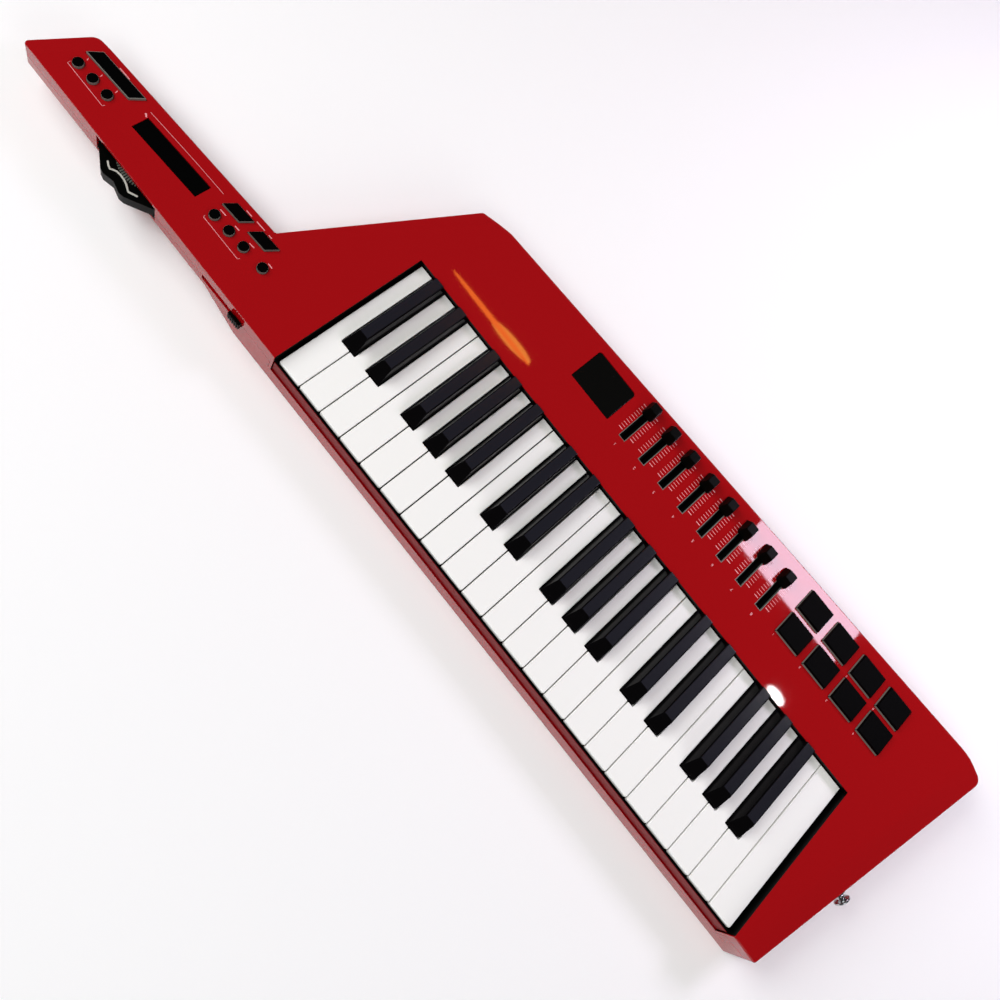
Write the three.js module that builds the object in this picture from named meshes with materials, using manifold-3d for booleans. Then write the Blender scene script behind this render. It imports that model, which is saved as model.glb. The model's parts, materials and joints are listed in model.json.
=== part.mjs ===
// Keytar: a strap-hung keyboard controller with 37 keys, a slanted body and a guitar-like neck.
// All lengths are millimetres. Pieces are drawn from the keys: X runs along the key row from the
// left edge of the lowest key, Y runs from the front of the keys towards the panel, and Z rises
// from the tops of the white keys. The last lines move the origin to the flat back of the case.
import * as THREE from 'three';
import { mergeVertices } from 'three/addons/utils/BufferGeometryUtils.js';
import { ConvexGeometry } from 'three/addons/geometries/ConvexGeometry.js';
import Module from 'manifold-3d';

const wasm = await Module();
wasm.setup();

// Fits shared by every piece
const seatGap = 0.3;
const overrun = 1;
const roundSides = 12;

// Key row
const keyPitch = 23.5;
const whiteKeyCount = 22;
const keyRow = keyPitch * whiteKeyCount;
const keyVisible = 138;
const whiteGap = 1;
const whiteThickness = 8;
const whiteLip = 4;
const whiteLipReach = 2.5;
const keyEdge = 0.8;
const blackFront = 48.5;
const blackRise = 11.5;
const blackRake = 11.5;
const blackBase = 13.7;
const blackTop = 9.8;
const blackGap = 1.1;
const blackStep = 1.4;
const blackCentreShares = [0.895, 2.1, 3.875, 5.005, 6.14];
const keysPerOctave = 7;
const noteNames = ['c', 'd', 'e', 'f', 'g', 'a', 'b'];
const sharpNames = ['c_sharp', 'd_sharp', 'f_sharp', 'g_sharp', 'a_sharp'];
const lowestOctave = 2;

// Key pivot under the panel
const pivotSetback = 30;
const pivotDepth = 12;
const pivotRodRadius = 3;
const tailOverhang = 7.9;
const heelReach = 10;
const heelRamp = 8;
const pivotY = keyVisible + pivotSetback;
const pivotZ = -pivotDepth;
const tailEnd = pivotY + tailOverhang;

// Case, from its own outside sizes
const coverRise = 7;
const coverFront = 3.2;
const wall = 2.5;
const seamDrop = 7.5;
const neckDrop = 16.5;
const caseDrop = 35.5;
const shelfDrop = 19;
const shelfReach = 8.2;
const neckLength = 217.8;
const neckTipDepth = 48;
const neckFlare = 12.4;
const tipRake = 21.3;
const neckRoot = 79.7;
const panelDepth = 79;
const panelFlare = 28.2;
const shoulderReach = 7;
const shoulderDrop = 7.4;
const cornerRun = 27;
const endBlock = 26.9;
const endRake = 57.7;
const endSoftRun = 23.1;
const endSoftDrop = 5.7;
const neckReach = neckRoot + neckLength;
const cornerDepth = coverFront + keyVisible + panelDepth;
const endDepth = cornerDepth + panelFlare;
const tipRadius = 3;
const tipBackRadius = 9;
const notchRadius = 2;
const shoulderRadius = 4;
const cornerRadius = 30;
const endBackRadius = 7;
const endSoftRadius = 60;
const recessGap = 2.4;
const slopeStart = 82;
const slopeEnd = 44;

// Rolled edges of the top cover and the raked underside of the body end
const tipBand = 13;
const tipBandDrop = 1.5;
const shoulderBandStart = 3;
const shoulderBand = 12;
const shoulderBandDrop = 1.2;
const endBand = 20;
const endBandDrop = 2.5;
const endUnderBand = 26;
const endUnderRise = 13;

// Panel controls, placed between the key tails and the far wall
const faderCount = 8;
const displayToFaders = 18.8;
const faderPitch = 24.2;
const faderSetback = 7.6;
const faderMargin = 3.5;
const faderSlotWidth = 7.4;
const faderSlotReach = 5.9;
const faderBodyWidth = 9;
const faderBodyReach = 7.5;
const faderStemWidth = 1.8;
const faderStemLength = 5;
const faderGrooveDepth = 5.5;
const capWidth = 12;
const capLength = 15;
const capHeight = 9.4;
const capTopWidth = 8;
const capTopLength = 8.4;
const capNoseWidth = 9.6;
const capNoseLength = 2.4;
const capLift = 0.6;
const fadersToPads = 22.3;
const padWidth = 26;
const padSetback = 1.4;
const padMargin = 8.6;
const padGapX = 6.8;
const padGapY = 5;
const padColumns = 4;
const padRows = 2;
const padRise = 3.5;
const padTaper = 0.5;
const padWeb = 2.4;
const padWebReach = 1.5;
const bayToDisplay = 17.9;
const displaySetback = 2.6;
const displayMargin = 4;
const displayWidth = 44.5;
const displayRadius = 3;
const displaySink = 0.2;
const moduleReach = 1.5;

// Neck controls, placed by shares of the neck's length and inset from its back edge
const barSlant = 0.6;
const barRise = 2;
const roundButtonRadius = 4.3;
const roundButtonRise = 2.3;
const roundButtonInset = 26.9;
const sustainShare = 0.7411;
const sustainLengthShare = 0.2135;
const sustainDepth = 10.7;
const sustainInset = 11.4;
const flangeReach = 1;
const flangeThickness = 0.8;
const octaveShares = [0.1226, -0.006];
const octaveLengthShare = 0.0835;
const octaveDepth = 9.5;
const octaveInset = 12;
const leftButtonShare = 0.8388;
const rightButtonShare = 0.1575;
const buttonPitchShare = 0.0722;
const buttonsPerRow = 3;
const singleButtonShare = -0.0817;
const stripShare = 0.4041;
const stripLengthShare = 0.3145;
const stripDepth = 13.8;
const stripInset = 21.4;
const stripSink = 0.4;
const keypadWeb = 2;
const keypadReach = 2.4;
const bridgeShare = 0.4191;
const bridgeLengthShare = 0.5053;
const bridgeInset = 33.1;
const bridgeDepth = 5;
const buttonGap = 0.4;

// Pitch wheel in the front wall of the neck
const wheelShare = 0.4399;
const wheelY = 20;
const wheelRadius = 39.5;
const wheelThickness = 10.2;
const wheelTopDrop = 0.7;
const wheelHubRadius = 12;
const wheelLobeSpread = 9.1;
const wheelLobeReach = 35.6;
const wheelNotchReach = 33.2;
const wheelSweepDegrees = 18;
const wheelPostRadius = 3;
const wheelClearance = 0.8;
const housingWing = 3.2;
const housingBase = 2.2;
const housingFrontDepth = 11;
const housingBack = 46.2;
const housingRise = 3.2;

// Volume slider in the front wall beside the first key
const sliderRest = -45;
const sliderLow = -75;
const sliderSlotLeft = -85;
const sliderSlotRight = -38;
const sliderCentreDrop = 8;
const sliderSlotHeight = 7;
const sliderKnobWidth = 13;
const sliderKnobHeight = 8;
const sliderKnobReach = 2.7;
const sliderStemWidth = 5;
const sliderStemHeight = 1.8;
const sliderStemDepth = 5.2;
const sliderBodyDepth = 8.4;
const sliderBodyHeight = 12;
const sliderBodyReach = 4;

// Boards
const boardThickness = 1.6;
const panelBoardDrop = 3.8;
const panelBoardInset = 7.5;
const panelBoardMargin = 1.5;
const neckBoardTop = 1.9;
const neckBoardTipShare = 0.8739;
const neckBoardRootShare = -0.109;
const neckBoardFront = 15.2;
const contactFront = 60;
const contactBack = 130;
const contactInset = 1;
const domeFront = 96;
const domeBack = 104;
const domeDrop = 13.5;

// Key frame
const frameFront = 8;
const framePlateDrop = 21;
const framePlateThickness = 2;
const framePostThickness = 4.4;
const frameTail = 8;
const frameInset = 1;
const framePostFront = 20;
const framePostBack = 150;
const framePostShares = [0.08, 0.5, 0.92];
const framePostRadius = 4;

// Fasteners
const bossRadius = 4;
const screwRadius = 1.5;
const screwHeadRadius = 3;
const screwHeadHeight = 1.2;
const screwLength = 10;
const screwWeb = 0.9;
const neckScrewDepth = 9.2;
const neckScrewShares = [0.837, 0.1764];
const sideScrewInset = 22.6;
const sideScrewDepths = [23.2, 128.2];
const tailScrewGap = 9.1;
const bayScrewGap = 1.2;
const bayScrewSetback = 22.1;
const endScrewGap = 14.6;
const endScrewDepth = 108.2;
const farScrewInset = 35.8;
const farScrewMargin = 24.3;

// Strap pegs
const pegBaseRadius = 5.5;
const pegBaseHeight = 1.4;
const pegNeckRadius = 3.2;
const pegHeadRadius = 6.5;
const pegHeadHeight = 2.4;
const pegHeight = 8.6;
const pegShankRadius = 2;
const pegShankLength = 5;
const endPegY = 85;
const endPegDrop = 3.5;
const backPegStart = 42;
const backPegDrop = 20;

// Battery bay behind the keys
const bayStart = 14;
const baySetback = 5.1;
const bayMargin = 5;
const bayLength = 106;
const bayHeight = 15;
const bayWall = 1.6;
const doorGap = 0.4;
const doorThickness = 2;

// Places worked out from the sizes above
const farCorner = cornerDepth - coverFront;
const faderLow = tailEnd + faderSetback;
const faderRest = farCorner - faderMargin;
const displayY = tailEnd + displaySetback;
const displayDepth = farCorner - displayMargin - displayY;
const bayY = tailEnd + baySetback;
const bayDepth = farCorner - bayMargin - bayY;
const displayStart = bayStart + bayLength + bayWall + bayToDisplay;
const faderStart = displayStart + displayWidth + displayToFaders;
const padStart = faderStart + (faderCount - 1) * faderPitch + fadersToPads;
const padPitchX = padWidth + padGapX;
const panelBoardLeft = displayStart - panelBoardInset;
const panelBoardRight = padStart + padColumns * padPitchX;

// Turning meshes into solids that can be joined and cut, and back again

function toSolid(geometry) {
  const bare = geometry.clone();
  bare.deleteAttribute('normal');
  bare.deleteAttribute('uv');
  const merged = mergeVertices(bare);
  const mesh = new wasm.Mesh({
    numProp: 3,
    vertProperties: new Float32Array(merged.attributes.position.array),
    triVerts: new Uint32Array(merged.index.array),
  });
  return new wasm.Manifold(mesh);
}

function toGeometry(solid) {
  const mesh = solid.getMesh();
  const geometry = new THREE.BufferGeometry();
  geometry.setAttribute('position', new THREE.BufferAttribute(new Float32Array(mesh.vertProperties), 3));
  geometry.setIndex(new THREE.BufferAttribute(new Uint32Array(mesh.triVerts), 1));
  geometry.computeVertexNormals();
  return geometry;
}

// Simple shapes, each placed by its limits

function block(x0, x1, y0, y1, z0, z1) {
  const geometry = new THREE.BoxGeometry(x1 - x0, y1 - y0, z1 - z0);
  geometry.translate((x0 + x1) / 2, (y0 + y1) / 2, (z0 + z1) / 2);
  return toSolid(geometry);
}

function extrusion(points, length, basis, origin) {
  const shape = new THREE.Shape(points);
  const geometry = new THREE.ExtrudeGeometry(shape, { depth: length, bevelEnabled: false });
  geometry.applyMatrix4(basis);
  geometry.translate(origin.x, origin.y, origin.z);
  return toSolid(geometry);
}

const alongX = new THREE.Vector3(1, 0, 0);
const alongY = new THREE.Vector3(0, 1, 0);
const alongZ = new THREE.Vector3(0, 0, 1);

// Plan outline, raised from z0 to z1
function prism(points, z0, z1) {
  return extrusion(points, z1 - z0, new THREE.Matrix4(), new THREE.Vector3(0, 0, z0));
}

// Side view in Y and Z, drawn out along X
function sideExtrusion(points, x0, x1) {
  const basis = new THREE.Matrix4().makeBasis(alongY, alongZ, alongX);
  return extrusion(points, x1 - x0, basis, new THREE.Vector3(x0, 0, 0));
}

// Front view in X and Z, drawn out along Y
function frontExtrusion(points, y0, y1) {
  const basis = new THREE.Matrix4().makeBasis(alongX, alongZ, alongY.clone().negate());
  return extrusion(points, y1 - y0, basis, new THREE.Vector3(0, y1, 0));
}

function post(x, y, radius, z0, z1) {
  const geometry = new THREE.CylinderGeometry(radius, radius, z1 - z0, roundSides);
  geometry.rotateX(Math.PI / 2);
  geometry.translate(x, y, (z0 + z1) / 2);
  return toSolid(geometry);
}

function joined(solids) {
  return solids.reduce((whole, solid) => whole.add(solid));
}

function cut(solid, tools) {
  return tools.reduce((left, tool) => left.subtract(tool), solid);
}

function arcPoints(cx, cy, radius, start, end, steps) {
  const points = [];
  for (let step = 0; step <= steps; step += 1) {
    const angle = start + ((end - start) * step) / steps;
    points.push(new THREE.Vector2(cx + radius * Math.cos(angle), cy + radius * Math.sin(angle)));
  }
  return points;
}

function rectangle(x0, x1, y0, y1) {
  return [
    new THREE.Vector2(x0, y0),
    new THREE.Vector2(x1, y0),
    new THREE.Vector2(x1, y1),
    new THREE.Vector2(x0, y1),
  ];
}

// Case outline: corners with radii, drawn counter-clockwise

const neckSlope = neckFlare / (neckLength - tipRake);

function caseCorners() {
  const corner = (x, depth, radius) => ({ x, y: depth - coverFront, radius });
  return [
    corner(-neckReach, 0, tipRadius),
    corner(keyRow + endBlock, 0, tipRadius),
    corner(keyRow + endBlock + endRake, endDepth - endSoftDrop, endBackRadius),
    corner(keyRow + endBlock + endRake - endSoftRun, endDepth, endSoftRadius),
    corner(cornerRun - shoulderReach, cornerDepth, cornerRadius),
    corner(-shoulderReach, cornerDepth - shoulderDrop, shoulderRadius),
    corner(-neckRoot, neckTipDepth + neckFlare, notchRadius),
    corner(-neckReach + tipRake, neckTipDepth, tipBackRadius),
  ];
}

// Where two lines cross, each given by a point and a direction
function crossing(p, d, q, e) {
  const along = ((q.x - p.x) * e.y - (q.y - p.y) * e.x) / (d.x * e.y - d.y * e.x);
  return new THREE.Vector2(p.x + d.x * along, p.y + d.y * along);
}

// A point on the line through two corners, at a given y or x
function onEdgeAtY(from, to, y) {
  return from.x + ((to.x - from.x) * (y - from.y)) / (to.y - from.y);
}

function onEdgeAtX(from, to, x) {
  return from.y + ((to.y - from.y) * (x - from.x)) / (to.x - from.x);
}

// The same corners moved inwards by one wall
function insetCorners(corners, distance) {
  const count = corners.length;
  return corners.map((corner, index) => {
    const before = corners[(index + count - 1) % count];
    const after = corners[(index + 1) % count];
    const d = new THREE.Vector2(corner.x - before.x, corner.y - before.y).normalize();
    const e = new THREE.Vector2(after.x - corner.x, after.y - corner.y).normalize();
    const p = new THREE.Vector2(corner.x - d.y * distance, corner.y + d.x * distance);
    const q = new THREE.Vector2(corner.x - e.y * distance, corner.y + e.x * distance);
    const hit = crossing(p, d, q, e);
    const turnsLeft = d.x * e.y - d.y * e.x > 0;
    const radius = turnsLeft ? Math.max(corner.radius - distance, 0) : corner.radius + distance;
    return { x: hit.x, y: hit.y, radius };
  });
}

// Corners with their radii drawn as short chords
function roundedOutline(corners) {
  const count = corners.length;
  const points = [];
  corners.forEach((corner, index) => {
    const before = corners[(index + count - 1) % count];
    const after = corners[(index + 1) % count];
    const at = new THREE.Vector2(corner.x, corner.y);
    const back = new THREE.Vector2(before.x, before.y).sub(at).normalize();
    const ahead = new THREE.Vector2(after.x, after.y).sub(at).normalize();
    const half = Math.acos(back.dot(ahead)) / 2;
    if (corner.radius === 0) {
      points.push(at);
      return;
    }
    const tangent = corner.radius / Math.tan(half);
    const start = at.clone().addScaledVector(back, tangent);
    const end = at.clone().addScaledVector(ahead, tangent);
    const bisector = back.clone().add(ahead).normalize();
    const centre = at.clone().addScaledVector(bisector, corner.radius / Math.sin(half));
    const from = Math.atan2(start.y - centre.y, start.x - centre.x);
    const turn = Math.atan2(end.y - centre.y, end.x - centre.x) - from;
    const sweep = Math.atan2(Math.sin(turn), Math.cos(turn));
    const steps = Math.max(Math.ceil(Math.abs(sweep) / (Math.PI / roundSides)), 1);
    points.push(...arcPoints(centre.x, centre.y, corner.radius, from, from + sweep, steps));
  });
  return points;
}

// A long wedge that rolls off an edge of the case between two corners.
// z is the level of the face it cuts, and drop is how far the outer edge moves, negative downwards.
function edgeWedge(from, to, bandStart, bandEnd, z, drop) {
  const along = new THREE.Vector2(to.x - from.x, to.y - from.y).normalize();
  const inward = new THREE.Vector2(-along.y, along.x);
  const outside = Math.sign(drop) * overrun;
  const section = (corner, band) => {
    const point = (reach, level) => new THREE.Vector3(
      corner.x + inward.x * reach,
      corner.y + inward.y * reach,
      level,
    );
    const slope = drop / Math.max(bandStart, bandEnd);
    return [
      point(band, z),
      point(-overrun, z + slope * (band + overrun)),
      point(-overrun, z - outside),
      point(band, z - outside),
    ];
  };
  return toSolid(new ConvexGeometry([...section(from, bandStart), ...section(to, bandEnd)]));
}

const outerCorners = caseCorners();
const innerCorners = insetCorners(outerCorners, wall);
const [tipFront, endFront, endBack, endSoft, cornerBack, shoulderTop, neckNotch, tipBack] = outerCorners;
const endBeyond = { x: onEdgeAtY(endFront, endBack, endSoft.y), y: endSoft.y };
const caseOutline = roundedOutline(outerCorners);
const innerOutline = roundedOutline(innerCorners);

const coverTop = coverRise;
const coverCeiling = coverRise - wall;
const seamZ = -seamDrop;
const neckBack = -neckDrop;
const caseBack = -caseDrop;
const shelfZ = -shelfDrop;
const neckFloor = neckBack + wall;
const caseFloor = caseBack + wall;
const recessLeft = -recessGap;
const recessRight = keyRow + recessGap;

// Outer edges that are rolled off, lowered by sink for the inside of the wall
function coverWedges(sink) {
  return [
    edgeWedge(tipBack, tipFront, tipBand, tipBand, coverTop - sink, -tipBandDrop),
    edgeWedge(shoulderTop, neckNotch, shoulderBand, shoulderBandStart, coverTop - sink, -shoulderBandDrop),
    edgeWedge(endFront, endBeyond, endBand, endBand, coverTop - sink, -endBandDrop),
  ];
}

// Neck controls, which follow the slope of the neck's back edge

function neckX(share) {
  return -neckRoot - share * neckLength;
}

function neckY(x, inset) {
  return tipBack.y + (x - tipBack.x) * neckSlope - inset;
}

function slantedBar(share, length, inset, depth, slant, grow) {
  const x = neckX(share);
  const y = neckY(x, inset);
  const halfLength = length / 2 + grow;
  const halfDepth = depth / 2 + grow;
  const corner = (along, across) => new THREE.Vector2(
    x + along * halfLength + across * slant * halfDepth,
    y + across * halfDepth + along * halfLength * neckSlope,
  );
  return [corner(-1, -1), corner(1, -1), corner(1, 1), corner(-1, 1)];
}

function roundButton(share) {
  const x = neckX(share);
  return { x, y: neckY(x, roundButtonInset) };
}

function rowOfButtons(share) {
  return Array.from({ length: buttonsPerRow }, (unused, index) => {
    return roundButton(share - index * buttonPitchShare);
  });
}

const leftButtons = rowOfButtons(leftButtonShare);
const rightButtons = rowOfButtons(rightButtonShare);
const allRoundButtons = [...leftButtons, ...rightButtons, roundButton(singleButtonShare)];

function sustainOutline(grow) {
  const length = sustainLengthShare * neckLength;
  return slantedBar(sustainShare, length, sustainInset, sustainDepth, barSlant, grow);
}

function octaveOutline(share, grow) {
  const length = octaveLengthShare * neckLength;
  return slantedBar(share, length, octaveInset, octaveDepth, barSlant, grow);
}

function stripOutline(grow) {
  return slantedBar(stripShare, stripLengthShare * neckLength, stripInset, stripDepth, 0, grow);
}

const wheelX = neckX(wheelShare);

// Panel controls

function farInside(x) {
  return onEdgeAtX(endSoft, cornerBack, x) - wall;
}

const padY = tailEnd + padSetback;
const padBack = onEdgeAtX(endSoft, cornerBack, padStart) - padMargin;
const padPitchY = (padBack - padY + padGapY) / padRows;
const padDepth = padPitchY - padGapY;
const padSpanX = padColumns * padPitchX - padGapX;
const padSpanY = padRows * padPitchY - padGapY;

function padPlaces() {
  const places = [];
  for (let row = 0; row < padRows; row += 1) {
    for (let column = 0; column < padColumns; column += 1) {
      places.push({ x: padStart + column * padPitchX, y: padY + row * padPitchY });
    }
  }
  return places;
}

function faderX(index) {
  return faderStart + index * faderPitch;
}

function displayOutline(grow) {
  const corner = (x, y, radius) => ({ x, y, radius });
  const left = displayStart - grow;
  const right = displayStart + displayWidth + grow;
  const front = displayY - grow;
  const back = displayY + displayDepth + grow;
  return roundedOutline([
    corner(left, front, keyEdge),
    corner(right, front, keyEdge),
    corner(right, back, displayRadius),
    corner(left, back, displayRadius),
  ]);
}

// Fastener places

function coverScrewPlaces() {
  const neckScrews = neckScrewShares.map((share) => [neckX(share), neckScrewDepth - coverFront]);
  const sideScrews = sideScrewDepths.map((depth) => [recessLeft - sideScrewInset, depth - coverFront]);
  const bayScrewX = bayStart + bayLength + bayWall + bossRadius + bayScrewGap;
  const farScrewY = endBack.y - farScrewMargin;
  const farScrewX = onEdgeAtY(endFront, endBack, farScrewY) - farScrewInset;
  return [
    ...neckScrews,
    ...sideScrews,
    [0, tailEnd + tailScrewGap],
    [bayScrewX, tailEnd + bayScrewSetback],
    [recessRight + endScrewGap, endScrewDepth - coverFront],
    [farScrewX, farScrewY],
  ];
}

function isOnNeck(place) {
  return place[0] < -neckRoot;
}

function floorUnder(place) {
  return isOnNeck(place) ? neckFloor : caseFloor;
}

function backUnder(place) {
  return isOnNeck(place) ? neckBack : caseBack;
}

// Peg seats: a point on the outer wall and the way out of it
function pegSeat(x, y, z, edgeFrom, edgeTo) {
  const along = new THREE.Vector2(edgeTo.x - edgeFrom.x, edgeTo.y - edgeFrom.y).normalize();
  const outward = new THREE.Vector3(along.y, -along.x, 0);
  return { place: new THREE.Vector3(x, y, z), outward };
}

const endPeg = pegSeat(onEdgeAtY(endFront, endBack, endPegY), endPegY, -endPegDrop, endFront, endBack);
const backPegY = onEdgeAtX(endSoft, cornerBack, backPegStart);
const backPeg = pegSeat(backPegStart, backPegY, -backPegDrop, endSoft, cornerBack);

// A turned shape whose own axis is laid along a peg seat's way out
function turnedOnSeat(profile, seat) {
  const geometry = new THREE.LatheGeometry(profile, roundSides);
  const turn = new THREE.Quaternion().setFromUnitVectors(alongY, seat.outward);
  geometry.applyQuaternion(turn);
  geometry.translate(seat.place.x, seat.place.y, seat.place.z);
  return toSolid(geometry);
}

function shankHole(seat) {
  const radius = pegShankRadius + seatGap;
  const reach = wall + overrun;
  const profile = [
    new THREE.Vector2(0, -reach),
    new THREE.Vector2(radius, -reach),
    new THREE.Vector2(radius, overrun),
    new THREE.Vector2(0, overrun),
  ];
  return turnedOnSeat(profile, seat);
}

// Slots in the front wall

function sliderSlot() {
  const half = sliderSlotHeight / 2;
  const z = -sliderCentreDrop;
  const front = -coverFront - overrun;
  return block(sliderSlotLeft, sliderSlotRight, front, -coverFront + wall + overrun, z - half, z + half);
}

const housingHalf = wheelRadius + housingWing;
const housingFloor = neckFloor + seatGap;
const housingTop = housingRise;

// Half the width of the wheel where it leaves the wall, with its clearance
const windowDepth = wheelY + coverFront - wall;
const windowHalf = Math.sqrt(wheelRadius ** 2 - windowDepth ** 2) + wheelClearance;

function housingWindow() {
  const left = wheelX - windowHalf;
  const right = wheelX + windowHalf;
  const back = -coverFront + wall + overrun;
  return block(left, right, -coverFront - overrun, back, housingFloor - seatGap, housingTop + seatGap);
}

// Top cover: glossy upper shell with the key recess, panel openings and neck openings

function topShell() {
  const outer = cut(prism(caseOutline, seamZ + seatGap / 2, coverTop), coverWedges(0));
  const cavity = cut(prism(innerOutline, seamZ - overrun, coverCeiling), coverWedges(wall));
  return outer.subtract(cavity);
}

function recessWalls() {
  const foot = shelfZ + seatGap;
  const front = -coverFront;
  const back = keyVisible;
  const left = block(recessLeft - wall, recessLeft, front, back, foot, coverCeiling);
  const right = block(recessRight, recessRight + wall, front, back, foot, coverCeiling);
  return [left, right];
}

function panelOpenings() {
  const low = coverCeiling - overrun;
  const high = coverTop + overrun;
  const tools = padPlaces().map((pad) => block(
    pad.x - buttonGap,
    pad.x + padWidth + buttonGap,
    pad.y - buttonGap,
    pad.y + padDepth + buttonGap,
    low,
    high,
  ));
  for (let index = 0; index < faderCount; index += 1) {
    const half = faderSlotWidth / 2;
    const x = faderX(index);
    const front = faderLow - faderSlotReach;
    tools.push(block(x - half, x + half, front, faderRest + faderSlotReach, low, high));
  }
  tools.push(prism(displayOutline(seatGap), low, high));
  return tools;
}

function neckOpenings() {
  const low = coverCeiling - overrun;
  const high = coverTop + overrun;
  const rounds = allRoundButtons.map((button) => {
    return post(button.x, button.y, roundButtonRadius + buttonGap, low, high);
  });
  const bars = octaveShares.map((share) => prism(octaveOutline(share, buttonGap), low, high));
  const sustain = prism(sustainOutline(buttonGap), low, high);
  const strip = prism(stripOutline(seatGap), low, high);
  return [...rounds, ...bars, sustain, strip];
}

function coverBosses() {
  return coverScrewPlaces().map((place) => {
    const foot = floorUnder(place) + seatGap;
    return post(place[0], place[1], bossRadius, foot, coverCeiling);
  });
}

function coverBossHoles() {
  return coverScrewPlaces().map((place) => {
    const foot = floorUnder(place);
    return post(place[0], place[1], screwRadius + seatGap, foot - overrun, foot + screwLength + overrun);
  });
}

function topCoverSolid() {
  const recess = block(
    recessLeft,
    recessRight,
    -coverFront - overrun,
    keyVisible,
    shelfZ - overrun,
    coverTop + overrun,
  );
  const shell = topShell().subtract(recess);
  const whole = joined([shell, ...recessWalls(), ...coverBosses()]);
  return cut(whole, [
    ...panelOpenings(),
    ...neckOpenings(),
    ...coverBossHoles(),
    sliderSlot(),
    housingWindow(),
    shankHole(endPeg),
  ]);
}

// Bottom cover: a tray whose back steps down from the neck to the body

function backProfile(sink) {
  const left = -neckReach - overrun;
  const right = keyRow + endBlock + endRake + overrun;
  const high = seamZ + overrun;
  return [
    new THREE.Vector2(left, high),
    new THREE.Vector2(left, neckBack + sink),
    new THREE.Vector2(-slopeStart + sink / 2, neckBack + sink),
    new THREE.Vector2(-slopeEnd + sink / 2, caseBack + sink),
    new THREE.Vector2(right, caseBack + sink),
    new THREE.Vector2(right, high),
  ];
}

function trayBody(outline, sink, top) {
  const front = -coverFront - overrun;
  const back = endDepth + overrun;
  const plan = prism(outline, caseBack - overrun, top);
  const rake = edgeWedge(endFront, endBeyond, endUnderBand, endUnderBand, caseBack + sink, endUnderRise);
  return plan.intersect(frontExtrusion(backProfile(sink), front, back)).subtract(rake);
}

function bayShell() {
  const ceiling = caseFloor + bayHeight;
  return block(
    bayStart - bayWall,
    bayStart + bayLength + bayWall,
    bayY - bayWall,
    bayY + bayDepth + bayWall,
    caseBack,
    ceiling + bayWall,
  );
}

function bayHollow() {
  const ceiling = caseFloor + bayHeight;
  return block(bayStart, bayStart + bayLength, bayY, bayY + bayDepth, caseBack - overrun, ceiling);
}

function framePostPlaces() {
  const row = (y) => framePostShares.map((share) => [keyRow * share, y]);
  return [...row(framePostFront), ...row(framePostBack)];
}

const framePlateTop = -framePlateDrop;
const framePlateFoot = framePlateTop - framePlateThickness;

function framePosts() {
  return framePostPlaces().map((place) => {
    return post(place[0], place[1], framePostRadius, caseFloor - overrun, framePlateFoot - seatGap);
  });
}

function framePostHoles() {
  return framePostPlaces().map((place) => {
    const foot = framePlateFoot - screwLength + framePlateThickness;
    return post(place[0], place[1], screwRadius + seatGap, foot, framePlateFoot);
  });
}

function coverScrewHoles() {
  return coverScrewPlaces().flatMap((place) => {
    const back = backUnder(place);
    const floor = floorUnder(place);
    const shank = post(place[0], place[1], screwRadius + seatGap, back - overrun, floor + overrun);
    const head = post(place[0], place[1], screwHeadRadius + seatGap, back - overrun, floor - screwWeb);
    return [shank, head];
  });
}

function bottomCoverSolid() {
  const rim = seamZ - seatGap / 2;
  const shell = trayBody(caseOutline, 0, rim).subtract(trayBody(innerOutline, wall, rim + overrun));
  const left = recessLeft - wall - seatGap;
  const right = recessRight + wall + seatGap;
  const step = block(left, right, -coverFront - overrun, keyVisible, shelfZ, rim + overrun);
  const shelf = block(left, right, -coverFront, shelfReach - coverFront, shelfZ - wall, shelfZ);
  const peg = turnedOnSeat(pegProfile(0), backPeg);
  const whole = joined([shell.subtract(step), shelf, bayShell(), ...framePosts(), peg]);
  return cut(whole, [
    bayHollow(),
    ...framePostHoles(),
    ...coverScrewHoles(),
    sliderSlot(),
    housingWindow(),
  ]);
}

// Battery door: a plate that swings down from its front edge

function batteryDoorSolid() {
  const low = caseBack + seatGap;
  return block(
    bayStart + doorGap,
    bayStart + bayLength - doorGap,
    bayY + doorGap,
    bayY + bayDepth - doorGap,
    low,
    low + doorThickness,
  );
}

// Keys

function blackCentres() {
  const centres = [];
  const octaves = Math.floor(whiteKeyCount / keysPerOctave);
  for (let octave = 0; octave < octaves; octave += 1) {
    blackCentreShares.forEach((share) => centres.push((octave * keysPerOctave + share) * keyPitch));
  }
  return centres;
}

const blackPlaces = blackCentres();
const blackHalfRoom = blackBase / 2 + blackGap;

function whiteKeyOutline(index) {
  const left = index * keyPitch + whiteGap / 2;
  const right = (index + 1) * keyPitch - whiteGap / 2;
  const middle = (left + right) / 2;
  const cutFront = blackFront - blackGap;
  let rearLeft = left;
  let rearRight = right;
  blackPlaces.forEach((centre) => {
    if (centre < middle) {
      rearLeft = Math.max(rearLeft, centre + blackHalfRoom);
    } else {
      rearRight = Math.min(rearRight, centre - blackHalfRoom);
    }
  });
  const points = [
    new THREE.Vector2(left, keyEdge),
    new THREE.Vector2(left + keyEdge, 0),
    new THREE.Vector2(right - keyEdge, 0),
    new THREE.Vector2(right, keyEdge),
  ];
  if (rearRight < right) {
    points.push(new THREE.Vector2(right, cutFront), new THREE.Vector2(rearRight, cutFront));
  }
  points.push(new THREE.Vector2(rearRight, tailEnd), new THREE.Vector2(rearLeft, tailEnd));
  if (rearLeft > left) {
    points.push(new THREE.Vector2(rearLeft, cutFront), new THREE.Vector2(left, cutFront));
  }
  return points;
}

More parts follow.
